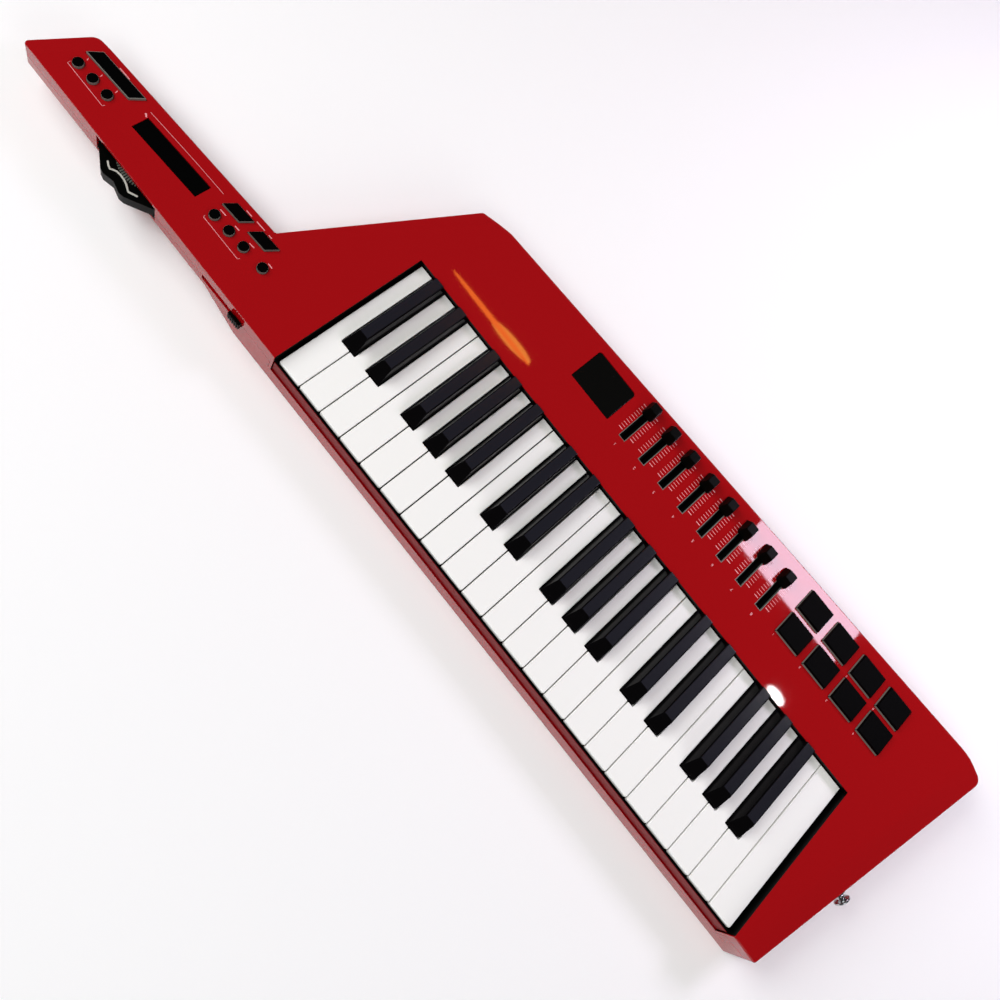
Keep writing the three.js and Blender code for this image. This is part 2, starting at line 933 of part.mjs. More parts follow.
// Underside of a key from its tail to its heel, with the groove that sits on the pivot rod
function tailProfile(thickness) {
  const groove = pivotRodRadius + seatGap;
  const arc = arcPoints(pivotY, pivotZ, groove, 0, Math.PI, roundSides / 2);
  return [
    new THREE.Vector2(tailEnd, 0),
    new THREE.Vector2(tailEnd, pivotZ),
    ...arc,
    new THREE.Vector2(pivotY - heelReach, pivotZ),
    new THREE.Vector2(pivotY - heelReach - heelRamp, -thickness),
  ];
}

function whiteKeySolid(index) {
  const plan = prism(whiteKeyOutline(index), pivotZ - overrun, overrun);
  const profile = [
    new THREE.Vector2(0, -whiteLip),
    new THREE.Vector2(0, -keyEdge),
    new THREE.Vector2(keyEdge, 0),
    ...tailProfile(whiteThickness),
    new THREE.Vector2(whiteLipReach, -whiteThickness),
    new THREE.Vector2(whiteLipReach, -whiteLip),
  ];
  const side = sideExtrusion(profile, index * keyPitch, (index + 1) * keyPitch);
  return plan.intersect(side);
}

function blackKeySolid(centre) {
  const half = blackBase / 2;
  const topHalf = blackTop / 2;
  const profile = [
    new THREE.Vector2(blackFront, -whiteThickness),
    new THREE.Vector2(blackFront, keyEdge),
    new THREE.Vector2(blackFront + blackRake, blackRise),
    new THREE.Vector2(keyVisible - blackStep, blackRise),
    new THREE.Vector2(keyVisible - blackStep, 0),
    ...tailProfile(whiteThickness),
  ];
  const section = [
    new THREE.Vector2(centre - half, pivotZ - overrun),
    new THREE.Vector2(centre + half, pivotZ - overrun),
    new THREE.Vector2(centre + half, keyEdge),
    new THREE.Vector2(centre + topHalf, blackRise - keyEdge),
    new THREE.Vector2(centre + topHalf - keyEdge, blackRise),
    new THREE.Vector2(centre - topHalf + keyEdge, blackRise),
    new THREE.Vector2(centre - topHalf, blackRise - keyEdge),
    new THREE.Vector2(centre - half, keyEdge),
  ];
  const side = sideExtrusion(profile, centre - blackBase, centre + blackBase);
  return side.intersect(frontExtrusion(section, blackFront - overrun, tailEnd + overrun));
}

// Key frame: a plate under the keys with the contact strip on it and the pivot rod along its back

function contactStrip() {
  const foot = framePlateTop - framePlateThickness / 2;
  const top = framePlateTop + boardThickness;
  const profile = [
    new THREE.Vector2(contactFront, foot),
    new THREE.Vector2(contactBack, foot),
    new THREE.Vector2(contactBack, top),
    new THREE.Vector2(domeBack, top),
    new THREE.Vector2(domeBack, -domeDrop),
    new THREE.Vector2(domeFront, -domeDrop),
    new THREE.Vector2(domeFront, top),
    new THREE.Vector2(contactFront, top),
  ];
  return sideExtrusion(profile, contactInset, keyRow - contactInset);
}

function keyFrameSolid() {
  const half = framePostThickness / 2;
  const spread = Math.asin(half / pivotRodRadius);
  const start = -Math.PI / 2 + spread;
  const end = (Math.PI * 3) / 2 - spread;
  const profile = [
    new THREE.Vector2(frameFront, framePlateFoot),
    new THREE.Vector2(pivotY + frameTail, framePlateFoot),
    new THREE.Vector2(pivotY + frameTail, framePlateTop),
    new THREE.Vector2(pivotY + half, framePlateTop),
    ...arcPoints(pivotY, pivotZ, pivotRodRadius, start, end, roundSides),
    new THREE.Vector2(pivotY - half, framePlateTop),
    new THREE.Vector2(frameFront, framePlateTop),
  ];
  const whole = sideExtrusion(profile, -frameInset, keyRow + frameInset).add(contactStrip());
  const holes = framePostPlaces().map((place) => {
    const radius = screwRadius + seatGap;
    return post(place[0], place[1], radius, framePlateFoot - overrun, framePlateTop + overrun);
  });
  return cut(whole, holes);
}

// Circuit boards: one under the panel controls and one under the neck controls

function faderBody(index) {
  const x = faderX(index);
  const top = coverCeiling - seatGap;
  const half = faderBodyWidth / 2;
  const grooveHalf = faderStemWidth / 2 + seatGap;
  const reach = faderStemLength / 2 + seatGap;
  const front = faderLow - faderBodyReach;
  const body = block(x - half, x + half, front, faderRest + faderBodyReach, -panelBoardDrop - overrun, top);
  const groove = block(
    x - grooveHalf,
    x + grooveHalf,
    faderLow - reach,
    faderRest + reach,
    top - faderGrooveDepth,
    top + overrun,
  );
  return { body, groove };
}

function panelBoardSolid() {
  const top = -panelBoardDrop;
  const front = tailEnd + panelBoardMargin;
  const plate = prism([
    new THREE.Vector2(panelBoardLeft, front),
    new THREE.Vector2(panelBoardRight, front),
    new THREE.Vector2(panelBoardRight, farInside(panelBoardRight) - panelBoardMargin),
    new THREE.Vector2(panelBoardLeft, farInside(panelBoardLeft) - panelBoardMargin),
  ], top - boardThickness, top);
  const moduleTop = coverCeiling - seatGap;
  const display = block(
    displayStart - moduleReach,
    displayStart + displayWidth + moduleReach,
    displayY - moduleReach,
    displayY + displayDepth + moduleReach,
    top - boardThickness / 2,
    moduleTop,
  );
  const sensor = block(
    padStart - padWebReach,
    padStart + padSpanX + padWebReach,
    padY,
    padY + padSpanY + padWebReach,
    top - boardThickness / 2,
    moduleTop - padWeb - seatGap,
  );
  const faders = Array.from({ length: faderCount }, (unused, index) => faderBody(index));
  const whole = joined([plate, display, sensor, ...faders.map((fader) => fader.body)]);
  return cut(whole, faders.map((fader) => fader.groove));
}

function neckBoardSolid() {
  const top = neckBoardTop;
  const foot = top - boardThickness;
  const tip = neckX(neckBoardTipShare);
  const root = neckX(neckBoardRootShare);
  const boardFront = neckBoardFront - coverFront;
  const backInset = wall + panelBoardMargin;
  const plate = prism([
    new THREE.Vector2(tip, boardFront),
    new THREE.Vector2(root, boardFront),
    new THREE.Vector2(root, neckY(root, backInset)),
    new THREE.Vector2(tip, neckY(tip, backInset)),
  ], foot, top);
  const strip = prism(stripOutline(-overrun), foot + boardThickness / 2, coverCeiling - seatGap);
  const front = -coverFront + wall + seatGap;
  const left = sliderSlotLeft - sliderBodyReach;
  const right = sliderSlotRight + sliderBodyReach;
  const tongue = block(left, right, front, boardFront + overrun, foot, top);
  const z = -sliderCentreDrop;
  const body = block(left, right, front, front + sliderBodyDepth, top - sliderBodyHeight, foot + overrun);
  const reach = sliderStemWidth / 2 + seatGap;
  const half = sliderStemHeight / 2 + seatGap;
  const groove = block(
    sliderLow - reach,
    sliderRest + reach,
    front - overrun,
    front + sliderStemDepth,
    z - half,
    z + half,
  );
  return joined([plate, strip, tongue, body]).subtract(groove);
}

// Pad mat: one rubber moulding with eight pads that rise through the panel

function padMatSolid() {
  const webTop = coverCeiling - seatGap;
  const web = block(
    padStart - padWebReach,
    padStart + padSpanX + padWebReach,
    padY - padWebReach,
    padY + padSpanY + padWebReach,
    webTop - padWeb,
    webTop,
  );
  const pads = padPlaces().map((pad) => {
    const ring = (inset, z) => rectangle(
      pad.x + inset,
      pad.x + padWidth - inset,
      pad.y + inset,
      pad.y + padDepth - inset,
    ).map((point) => new THREE.Vector3(point.x, point.y, z));
    const top = coverTop + padRise;
    return toSolid(new ConvexGeometry([
      ...ring(0, webTop - padWeb / 2),
      ...ring(0, coverTop),
      ...ring(padTaper, top - padTaper),
      ...ring(padTaper * 2, top),
    ]));
  });
  return joined([web, ...pads]);
}

// Fader cap: a wedge-sided cap with a narrowed nose on a flat stem, drawn about its own centre

function faderCapSolid() {
  const foot = coverTop + capLift;
  const ring = (width, front, back, z) => rectangle(-width / 2, width / 2, front, back)
    .map((point) => new THREE.Vector3(point.x, point.y, z));
  const front = -capLength / 2;
  const back = capLength / 2;
  const topReach = capTopLength / 2;
  const cap = toSolid(new ConvexGeometry([
    ...ring(capNoseWidth, front, back, foot),
    ...ring(capWidth, front + capNoseLength, back, foot),
    ...ring(capTopWidth, -topReach, topReach, foot + capHeight),
  ]));
  const half = faderStemWidth / 2;
  const reach = faderStemLength / 2;
  const low = coverCeiling - faderGrooveDepth;
  const stem = block(-half, half, -reach, reach, low, foot + overrun);
  return cap.add(stem);
}

// Pieces of the panel and neck that only sit in their openings

function displayWindowSolid() {
  return prism(displayOutline(0), coverCeiling, coverTop - displaySink);
}

function touchStripSolid() {
  return prism(stripOutline(0), coverCeiling, coverTop - stripSink);
}

function sustainButtonSolid() {
  const webTop = coverCeiling - seatGap;
  const flange = prism(sustainOutline(flangeReach), webTop - flangeThickness, webTop);
  const bar = prism(sustainOutline(0), webTop - flangeThickness / 2, coverTop + barRise);
  return flange.add(bar);
}

function neckKeypadSolid() {
  const webTop = coverCeiling - seatGap;
  const webFoot = webTop - keypadWeb;
  const rise = (button) => {
    return post(button.x, button.y, roundButtonRadius, webTop - keypadWeb / 2, coverTop + roundButtonRise);
  };
  const web = (share, length, inset, depth) => {
    return prism(slantedBar(share, length, inset, depth, 0, 0), webFoot, webTop);
  };
  const reach = roundButtonRadius + keypadReach;
  const rowShare = leftButtonShare - buttonPitchShare * ((buttonsPerRow - 1) / 2);
  const rowLength = (buttonsPerRow - 1) * buttonPitchShare * neckLength + 2 * reach;
  const leftWeb = web(rowShare, rowLength, roundButtonInset, 2 * reach);
  const rightMiddle = (rightButtonShare + singleButtonShare) / 2;
  const rightLength = (rightButtonShare - singleButtonShare) * neckLength + 2 * reach;
  const rightFront = roundButtonInset + reach;
  const rightBack = octaveInset - octaveDepth / 2 - keypadReach;
  const rightWeb = web(rightMiddle, rightLength, (rightFront + rightBack) / 2, rightFront - rightBack);
  const bridge = web(bridgeShare, bridgeLengthShare * neckLength, bridgeInset, bridgeDepth);
  const bars = octaveShares.map((share) => {
    return prism(octaveOutline(share, 0), webTop - keypadWeb / 2, coverTop + barRise);
  });
  return joined([leftWeb, rightWeb, bridge, ...allRoundButtons.map(rise), ...bars]);
}

// Pitch wheel: a rocker with two thumb lobes and a hollow between them

function wheelOutline() {
  const edge = Math.asin(-(wheelY + coverFront) / wheelRadius);
  const sweep = THREE.MathUtils.degToRad(wheelSweepDegrees);
  const side = Math.cos(edge) * wheelRadius;
  const wallLevel = -(wheelY + coverFront);
  const rightArc = arcPoints(0, 0, wheelRadius, edge, edge + sweep, 2).reverse();
  const leftArc = rightArc.map((point) => new THREE.Vector2(-point.x, point.y)).reverse();
  const lobe = (sign) => [
    new THREE.Vector2(sign * (side + wheelLobeSpread) / 2, (wallLevel - wheelLobeReach) / 2 - overrun),
    new THREE.Vector2(sign * wheelLobeSpread * 1.5, -wheelLobeReach + overrun),
    new THREE.Vector2(sign * wheelLobeSpread, -wheelLobeReach),
    new THREE.Vector2((sign * wheelLobeSpread) / 2, (-wheelLobeReach - wheelNotchReach) / 2),
  ];
  const hub = arcPoints(0, 0, wheelHubRadius, Math.PI, 0, roundSides / 2);
  return [
    ...hub,
    ...rightArc,
    ...lobe(1),
    new THREE.Vector2(0, -wheelNotchReach),
    ...lobe(-1).reverse(),
    ...leftArc,
  ];
}

function pitchWheelSolid() {
  const top = -wheelTopDrop;
  const foot = top - wheelThickness;
  const body = prism(wheelOutline(), foot, top);
  return body.subtract(post(0, 0, wheelPostRadius + seatGap, foot - overrun, top + overrun));
}

// Wheel housing: the black carriage that carries the wheel and frames it in the wall

function wheelHousingSolid() {
  const wheelFoot = -wheelTopDrop - wheelThickness;
  const plateTop = wheelFoot - seatGap;
  const front = -coverFront + wall + seatGap;
  const left = wheelX - housingHalf;
  const right = wheelX + housingHalf;
  const back = housingBack - coverFront;
  const plate = block(left, right, front, back, plateTop - housingBase, plateTop);
  const cheeks = block(left, right, front, front + housingFrontDepth, plateTop - housingBase, housingTop);
  const sill = block(
    wheelX - windowHalf + seatGap,
    wheelX + windowHalf - seatGap,
    front - wall,
    front + overrun,
    plateTop - housingBase,
    plateTop,
  );
  const swept = new THREE.CylinderGeometry(
    wheelRadius + wheelClearance,
    wheelRadius + wheelClearance,
    housingTop + overrun - plateTop,
    roundSides * 4,
  );
  swept.rotateX(Math.PI / 2);
  swept.translate(wheelX, wheelY, (housingTop + overrun + plateTop) / 2);
  const pin = post(wheelX, wheelY, wheelPostRadius, plateTop - housingBase / 2, -wheelTopDrop);
  return cheeks.subtract(toSolid(swept)).add(plate).add(sill).add(pin);
}

// Volume slider: a small knob on a flat stem, drawn about its own centre

function volumeSliderSolid() {
  const front = -coverFront - seatGap;
  const halfWidth = sliderKnobWidth / 2;
  const halfHeight = sliderKnobHeight / 2;
  const knob = block(-halfWidth, halfWidth, front - sliderKnobReach, front, -halfHeight, halfHeight);
  const stemBack = -coverFront + wall + sliderStemDepth;
  const stem = block(
    -sliderStemWidth / 2,
    sliderStemWidth / 2,
    front - overrun,
    stemBack,
    -sliderStemHeight / 2,
    sliderStemHeight / 2,
  );
  return knob.add(stem);
}

// Strap pegs: one screwed into the end wall, and one made with the bottom cover at the far wall

function pegProfile(lift) {
  const base = lift + pegBaseHeight;
  return [
    new THREE.Vector2(0, -pegShankLength),
    new THREE.Vector2(pegShankRadius, -pegShankLength),
    new THREE.Vector2(pegShankRadius, lift),
    new THREE.Vector2(pegBaseRadius, lift),
    new THREE.Vector2(pegBaseRadius, base),
    new THREE.Vector2(pegNeckRadius, base + pegBaseHeight),
    new THREE.Vector2(pegNeckRadius, pegHeight - pegHeadHeight - pegBaseHeight),
    new THREE.Vector2(pegHeadRadius, pegHeight - pegHeadHeight),
    new THREE.Vector2(pegHeadRadius, pegHeight - keyEdge),
    new THREE.Vector2(pegHeadRadius - keyEdge, pegHeight),
    new THREE.Vector2(0, pegHeight),
  ];
}

// Finishes

function finish(color, roughness, metalness) {
  return new THREE.MeshStandardMaterial({ color, roughness, metalness });
}

const redGloss = finish(0xa80c14, 0.12, 0);
const whiteKeyPlastic = finish(0xf4f3ef, 0.25, 0);
const blackKeyPlastic = finish(0x141414, 0.3, 0);
const blackRubber = finish(0x17181a, 0.7, 0);
const blackPlastic = finish(0x131414, 0.45, 0);
const darkAcrylic = finish(0x0b0c0a, 0.08, 0);
const steel = finish(0xb4b6ba, 0.35, 1);
const framePlastic = finish(0x2a2b2e, 0.6, 0);
const boardGreen = finish(0x1f5a34, 0.5, 0);

// Assembly

const keytar = new THREE.Group();

function place(name, solid, material, x = 0, y = 0, z = 0) {
  const mesh = new THREE.Mesh(toGeometry(solid), material);
  mesh.name = name;
  mesh.position.set(x, y, z);
  keytar.add(mesh);
}

place('top_cover', topCoverSolid(), redGloss);
place('bottom_cover', bottomCoverSolid(), redGloss);
place('battery_door', batteryDoorSolid(), redGloss);
place('key_frame', keyFrameSolid(), framePlastic);
place('panel_board', panelBoardSolid(), boardGreen);
place('neck_board', neckBoardSolid(), boardGreen);
place('pad_mat', padMatSolid(), blackRubber);
place('display_window', displayWindowSolid(), darkAcrylic);
place('touch_strip', touchStripSolid(), darkAcrylic);
place('neck_keypad', neckKeypadSolid(), blackRubber);
place('sustain_button', sustainButtonSolid(), blackRubber);
place('pitch_wheel', pitchWheelSolid(), blackPlastic, wheelX, wheelY);
place('wheel_housing', wheelHousingSolid(), blackPlastic);
place('volume_slider', volumeSliderSolid(), blackPlastic, sliderRest, 0, -sliderCentreDrop);
place('strap_peg', turnedOnSeat(pegProfile(seatGap), endPeg), steel);

for (let index = 0; index < faderCount; index += 1) {
  place(`fader_cap_${index + 1}`, faderCapSolid(), blackPlastic, faderX(index), faderRest);
}

for (let index = 0; index < whiteKeyCount; index += 1) {
  const octave = lowestOctave + Math.floor(index / keysPerOctave);
  place(`key_${noteNames[index % keysPerOctave]}${octave}`, whiteKeySolid(index), whiteKeyPlastic);
}

blackPlaces.forEach((centre, index) => {
  const octave = lowestOctave + Math.floor(index / blackCentreShares.length);
  const name = sharpNames[index % blackCentreShares.length];
  place(`key_${name}${octave}`, blackKeySolid(centre), blackKeyPlastic);
});

// The origin lies on the flat back of the body, under the middle of the visible keys
keytar.position.set(-keyRow / 2, -keyVisible / 2, caseDrop);

export default keytar;
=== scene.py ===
"""Looks of a strap-hung keyboard controller with 37 keys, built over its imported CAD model.

Lengths are metres in the row frame: X runs along the keys, Y from the key fronts to the far wall of
the panel, Z up from the flat back. Real sizes are written in millimetres times mm.
"""
import json
import math

import bmesh
import bpy
from mathutils import Matrix, Quaternion, Vector

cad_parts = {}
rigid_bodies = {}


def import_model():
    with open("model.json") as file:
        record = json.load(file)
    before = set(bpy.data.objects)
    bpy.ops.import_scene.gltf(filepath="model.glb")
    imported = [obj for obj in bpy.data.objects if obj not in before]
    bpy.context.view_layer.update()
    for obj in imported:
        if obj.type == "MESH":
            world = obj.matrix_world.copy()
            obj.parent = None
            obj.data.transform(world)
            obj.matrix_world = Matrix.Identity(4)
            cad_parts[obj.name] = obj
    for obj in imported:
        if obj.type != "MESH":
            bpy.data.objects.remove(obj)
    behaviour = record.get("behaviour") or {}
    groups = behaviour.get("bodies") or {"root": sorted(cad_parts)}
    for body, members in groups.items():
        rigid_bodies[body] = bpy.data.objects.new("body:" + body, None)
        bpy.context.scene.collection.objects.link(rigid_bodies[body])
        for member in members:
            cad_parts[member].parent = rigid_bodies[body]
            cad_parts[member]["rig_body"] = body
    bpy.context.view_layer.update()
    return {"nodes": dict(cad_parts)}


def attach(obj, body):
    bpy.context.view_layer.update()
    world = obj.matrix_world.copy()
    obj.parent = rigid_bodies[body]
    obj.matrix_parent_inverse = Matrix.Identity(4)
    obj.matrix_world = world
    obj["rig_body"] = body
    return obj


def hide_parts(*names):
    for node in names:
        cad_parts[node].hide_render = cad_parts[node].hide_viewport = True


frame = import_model()
mm = 0.001

# Camera: the photograph was taken from above the lowest keys with a normal lens, looking down
# and turned so that the neck points to the upper left.


def add_object(name, data):
    """An object of the given data, linked to the scene at the origin."""
    made = bpy.data.objects.new(name, data)
    bpy.context.scene.collection.objects.link(made)
    return made


camera_place = Vector((-117.823, -286.215, 727.214)) * mm
camera_right = Vector((0.62381, 0.71448, 0.31682))
camera_up = Vector((-0.78122, 0.55778, 0.28032))
camera_back = Vector((0.02357, -0.42237, 0.90612))
camera_data = bpy.data.cameras.new("camera")
camera_data.lens = 36
camera_data.sensor_width = 36
camera_data.shift_x = 0.0109
camera_data.shift_y = -0.0875
camera = add_object("camera", camera_data)
turn = Matrix((camera_right, camera_up, camera_back)).transposed().to_4x4()
camera.matrix_world = Matrix.Translation(camera_place) @ turn
bpy.context.scene.camera = camera
bpy.context.scene.view_settings.view_transform = "Standard"

# Floor and light: a plain white table under soft studio lamps. The glossy panel mirrors the lamps
# that hang straight overhead.


def linear(shade):
    """sRGB hex written as a linear colour with alpha."""
    channels = [int(shade[at:at + 2], 16) / 255 for at in (1, 3, 5)]
    return [c / 12.92 if c <= 0.04045 else ((c + 0.055) / 1.055) ** 2.4 for c in channels] + [1]


def add_node(tree, kind, values=None, links=None, **settings):
    """Adds one node with its settings, its sockets' values and the links into them."""
    node = tree.nodes.new(kind)
    for name, value in settings.items():
        setattr(node, name, value)
    for name, value in (values or {}).items():
        node.inputs[name].default_value = value
    for name, source in (links or {}).items():
        tree.links.new(source, node.inputs[name])
    return node


def new_material(name):
    """An empty node material and its tree."""
    material = bpy.data.materials.new(name)
    material.use_nodes = True
    material.node_tree.nodes.clear()
    return material, material.node_tree


# White paper: matt, with no grain that shows from a metre away.
paper, tree = new_material("white_paper")
sheet = add_node(tree, "ShaderNodeBsdfPrincipled", {"Base Color": linear("#FFFFFF"), "Roughness": 0.9})
add_node(tree, "ShaderNodeOutputMaterial", links={"Surface": sheet.outputs[0]})

floor_reach = 6
floor_level = -0.4 * mm
floor_mesh = bpy.data.meshes.new("floor")
floor_mesh.from_pydata(
    [(x * floor_reach, y * floor_reach, floor_level) for x, y in ((-1, -1), (1, -1), (1, 1), (-1, 1))],
    [],
    [(0, 1, 2, 3)],
)
floor_mesh.materials.append(paper)
floor = add_object("floor", floor_mesh)

world = bpy.data.worlds.new("studio")
bpy.context.scene.world = world
world.use_nodes = True
world.node_tree.nodes.clear()
room = add_node(world.node_tree, "ShaderNodeBackground", {"Color": linear("#FFFFFF"), "Strength": 0.08})
add_node(world.node_tree, "ShaderNodeOutputWorld", links={"Surface": room.outputs[0]})


def soft_lamp(name, place, target, size, glow, tint="#FFFFFF", turned=0, mirrored=True, shape="RECTANGLE"):
    """A soft box whose face shines at the given brightness, where 1 is white. One that isn't mirrored
    stands behind a diffuser so large that glossy faces show no shape of it."""
    data = bpy.data.lights.new(name, "AREA")
    data.shape = shape
    data.size, data.size_y = size
    data.energy = glow * size[0] * size[1] * math.pi
    data.color = linear(tint)[:3]
    lamp = add_object(name, data)
    lamp.location = place
    aim = (Vector(target) - Vector(place)).to_track_quat("-Z", "Y")
    lamp.rotation_euler = (aim @ Quaternion((0, 0, 1), math.radians(turned))).to_euler()
    lamp.visible_glossy = mirrored


# Lamps overhead: place in the plan, size, brightness, tint, turn in degrees and outline.
overhead_level = 0.727
overhead_lamps = {
    "pad_lamp": ((0.3735, 0.75), (0.239, 0.402), 17, "#F6E8FF", 0, "RECTANGLE"),
    "spot_lamp": ((0.458, 0.431), (0.036, 0.02), 32, "#FFFFFF", 0, "ELLIPSE"),
    "warm_tube": ((-0.2679, 0.4565), (0.19, 0.009), 11, "#FF8A30", -0.4, "ELLIPSE"),
    "warm_lamp": ((-0.2199, 0.4575), (0.09, 0.019), 10, "#FFB048", 3.0, "ELLIPSE"),
}
for name, (place, size, glow, tint, turned, shape) in overhead_lamps.items():
    soft_lamp(name, (*place, overhead_level), (*place, 0), size, glow, tint, turned, shape=shape)
soft_lamp("front_lamp", (-0.5, -1.1, 1.9), (0, 0, 0), (2.4, 0.6), 5.2, mirrored=False)
soft_lamp("left_lamp", (-2.0, -0.4, 1.6), (0, 0, 0), (1.6, 1.6), 4.2, mirrored=False)
soft_lamp("right_lamp", (2.2, -0.8, 1.5), (0, 0, 0), (1.6, 1.6), 1.9)

# Bottom cover: a tray of red ABS, injection moulded and polished to a high gloss. It carries
# every inner piece and the back strap peg, and meets the top cover at a fine dark seam.


def shell_copy(name, node):
    """A copy of a CAD node as one closed mesh with its flat faces joined."""
    mesh = frame["nodes"][node].data.copy()
    mesh.name = name
    mesh.materials.clear()
    work = bmesh.new()
    work.from_mesh(mesh)
    bmesh.ops.remove_doubles(work, verts=work.verts, dist=0.002 * mm)
    bmesh.ops.dissolve_limit(work, angle_limit=math.radians(0.6), verts=work.verts, edges=work.edges)
    for face in work.faces:
        face.smooth = True
    work.to_mesh(mesh)
    work.free()
    for attribute in [a.name for a in mesh.attributes if a.name.startswith(("UV", "COLOR", "custom_normal"))]:
        mesh.attributes.remove(mesh.attributes[attribute])
    return add_object(name, mesh)


def round_edges(piece, radius, least_angle=25, steps=2):
    """A moulding's small edge radius, on every edge sharper than an angle."""
    bevel = piece.modifiers.new("moulded_radius", "BEVEL")
    bevel.width = radius
    bevel.segments = steps
    bevel.limit_method = "ANGLE"
    bevel.angle_limit = math.radians(least_angle)
    bevel.use_clamp_overlap = True
    bevel.harden_normals = True
    bevel.miter_outer = "MITER_ARC"
    return bevel


def surface_finish(name, patch, detail, base, relief=None, tones=None, gloss=None):
    """A finish with one even cloudy pattern whose patches have a real size. It drives a relief (its
    strength and depth), two tones (where each lies and its shade) or a span of roughness."""
    material, tree = new_material(name)
    place = add_node(tree, "ShaderNodeTexCoord")
    pattern = add_node(
        tree, "ShaderNodeTexNoise", {"Scale": 1 / patch, "Detail": detail}, {"Vector": place.outputs["Object"]})
    driven = {}
    if relief:
        bump = add_node(
            tree, "ShaderNodeBump", {"Strength": relief[0], "Distance": relief[1]}, {"Height": pattern.outputs[0]})
        driven["Normal"] = bump.outputs[0]
    if tones:
        ramp = add_node(tree, "ShaderNodeValToRGB", links={"Fac": pattern.outputs[0]})
        for stop, (position, shade) in zip(ramp.color_ramp.elements, tones):
            stop.position = position
            stop.color = linear(shade)
        driven["Base Color"] = ramp.outputs["Color"]
    if gloss:
        span = add_node(
            tree, "ShaderNodeMapRange", {"To Min": gloss[0], "To Max": gloss[1]}, {"Value": pattern.outputs[0]})
        driven["Roughness"] = span.outputs["Result"]
    surface = add_node(tree, "ShaderNodeBsdfPrincipled", base, driven)
    add_node(tree, "ShaderNodeOutputMaterial", links={"Surface": surface.outputs[0]})
    return material


def paint_faces(piece, material, test):
    """Gives one more material to the faces that pass a test of their centre in mm and their normal."""
    piece.data.materials.append(material)
    for face in piece.data.polygons:
        if test(face.center / mm, face.normal):
            face.material_index = len(piece.data.materials) - 1


# Injection moulded ABS in a deep red, high gloss, with the slow waves that a polished moulding shows
# in its reflections.
red_shell = surface_finish(
    "gloss_red_abs", 45 * mm, 1, {"Base Color": linear("#9F060D"), "Roughness": 0.03, "IOR": 1.46},
    relief=(0.05, 0.3 * mm))

# The same red ABS where the mould is finely spark-eroded and almost without shine. Its darker red is painted shade,
# for the front wall and the key rail that lie in shadow. The real grain is too fine to show, so it is drawn at half
# a millimetre.
red_wall_painted_shade = surface_finish(
    "matt_red_abs_painted_shade", 0.5 * mm, 2, {"Base Color": linear("#7A040A"), "Roughness": 0.4, "Specular IOR Level": 0.1},
    relief=(0.1, 0.02 * mm))

wall_behind, wall_half_length, wall_top = -60, 300, 17
tray = shell_copy("tray", "bottom_cover")
tray.data.materials.append(red_shell)
# The lower front wall of the tray gets the darker red: painted shade.
paint_faces(tray, red_wall_painted_shade, lambda at, normal: (
    at.y < wall_behind and abs(at.x) < wall_half_length and at.z < wall_top and normal.y < 0.5))
round_edges(tray, 0.6 * mm, 40)
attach(tray, "case")
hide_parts("bottom_cover")

# Top cover: the same gloss red ABS, with the openings of every control. Its outer edge is rolled
# all round, and the tip, the shoulder and the right end fall away in broad flat bands.
lid_level = 42.5 * mm
lid_roll = 1.0 * mm

# Corners of the outline: x, y and radius, in millimetres.
case_corners = [
    (-556, -72.2, 3), (285.4, -72.2, 3), (343.1, 170.5, 7), (320, 176.2, 60), (-238.5, 148, 30),
    (-265.5, 140.6, 4), (-338.2, -11.8, 2), (-534.7, -24.2, 9),
]

# Bands along the outline: first and last corner, width at each of them, slope, and how far the cut
# runs on behind the last corner.
bands = {
    "tip_wedge": (7, 0, 13, 13, 1.5 / 13, 30),
    "shoulder_wedge": (5, 6, 12, 3, 1.2 / 12, -0.4),
    "end_wedge": (1, 2, 20, 20, 2.5 / 20, 30),
}


def rounded_outline(corners, turn_step):
    """The plan outline with its corner radii drawn as short chords, in metres."""
    points = []
    for index, (x, y, radius) in enumerate(corners):
        at = Vector((x, y)) * mm
        back = (Vector(corners[index - 1][:2]) * mm - at).normalized()
        ahead = (Vector(corners[(index + 1) % len(corners)][:2]) * mm - at).normalized()
        half = back.angle(ahead) / 2
        tangent = radius * mm / math.tan(half)
        start = at + back * tangent
        centre = at + (back + ahead).normalized() * radius * mm / math.sin(half)
        sweep = (at + ahead * tangent - centre).angle_signed(start - centre)
        steps = max(2, math.ceil(abs(sweep) / turn_step))
        for step in range(steps + 1):
            spin = Matrix.Rotation(sweep * step / steps, 2)
            points.append(centre + spin @ (start - centre))
    return points


def new_piece(name, work, material=None):
    """A finished mesh with its faces outwards, made into a piece of one material."""
    bmesh.ops.recalc_face_normals(work, faces=work.faces)
    mesh = bpy.data.meshes.new(name)
    work.to_mesh(mesh)
    work.free()
    if material:
        mesh.materials.append(material)
    return add_object(name, mesh)


def prism(name, points, low, high, material=None):
    """A plan outline raised between two levels, as a closed piece."""
    work = bmesh.new()
    foot = [work.verts.new((p[0], p[1], low)) for p in points]
    top = [work.verts.new((p[0], p[1], high)) for p in points]
    work.faces.new(foot[::-1])
    work.faces.new(top)
    for index in range(len(points)):
        after = (index + 1) % len(points)
        work.faces.new((foot[index], foot[after], top[after], top[index]))
    return new_piece(name, work, material)


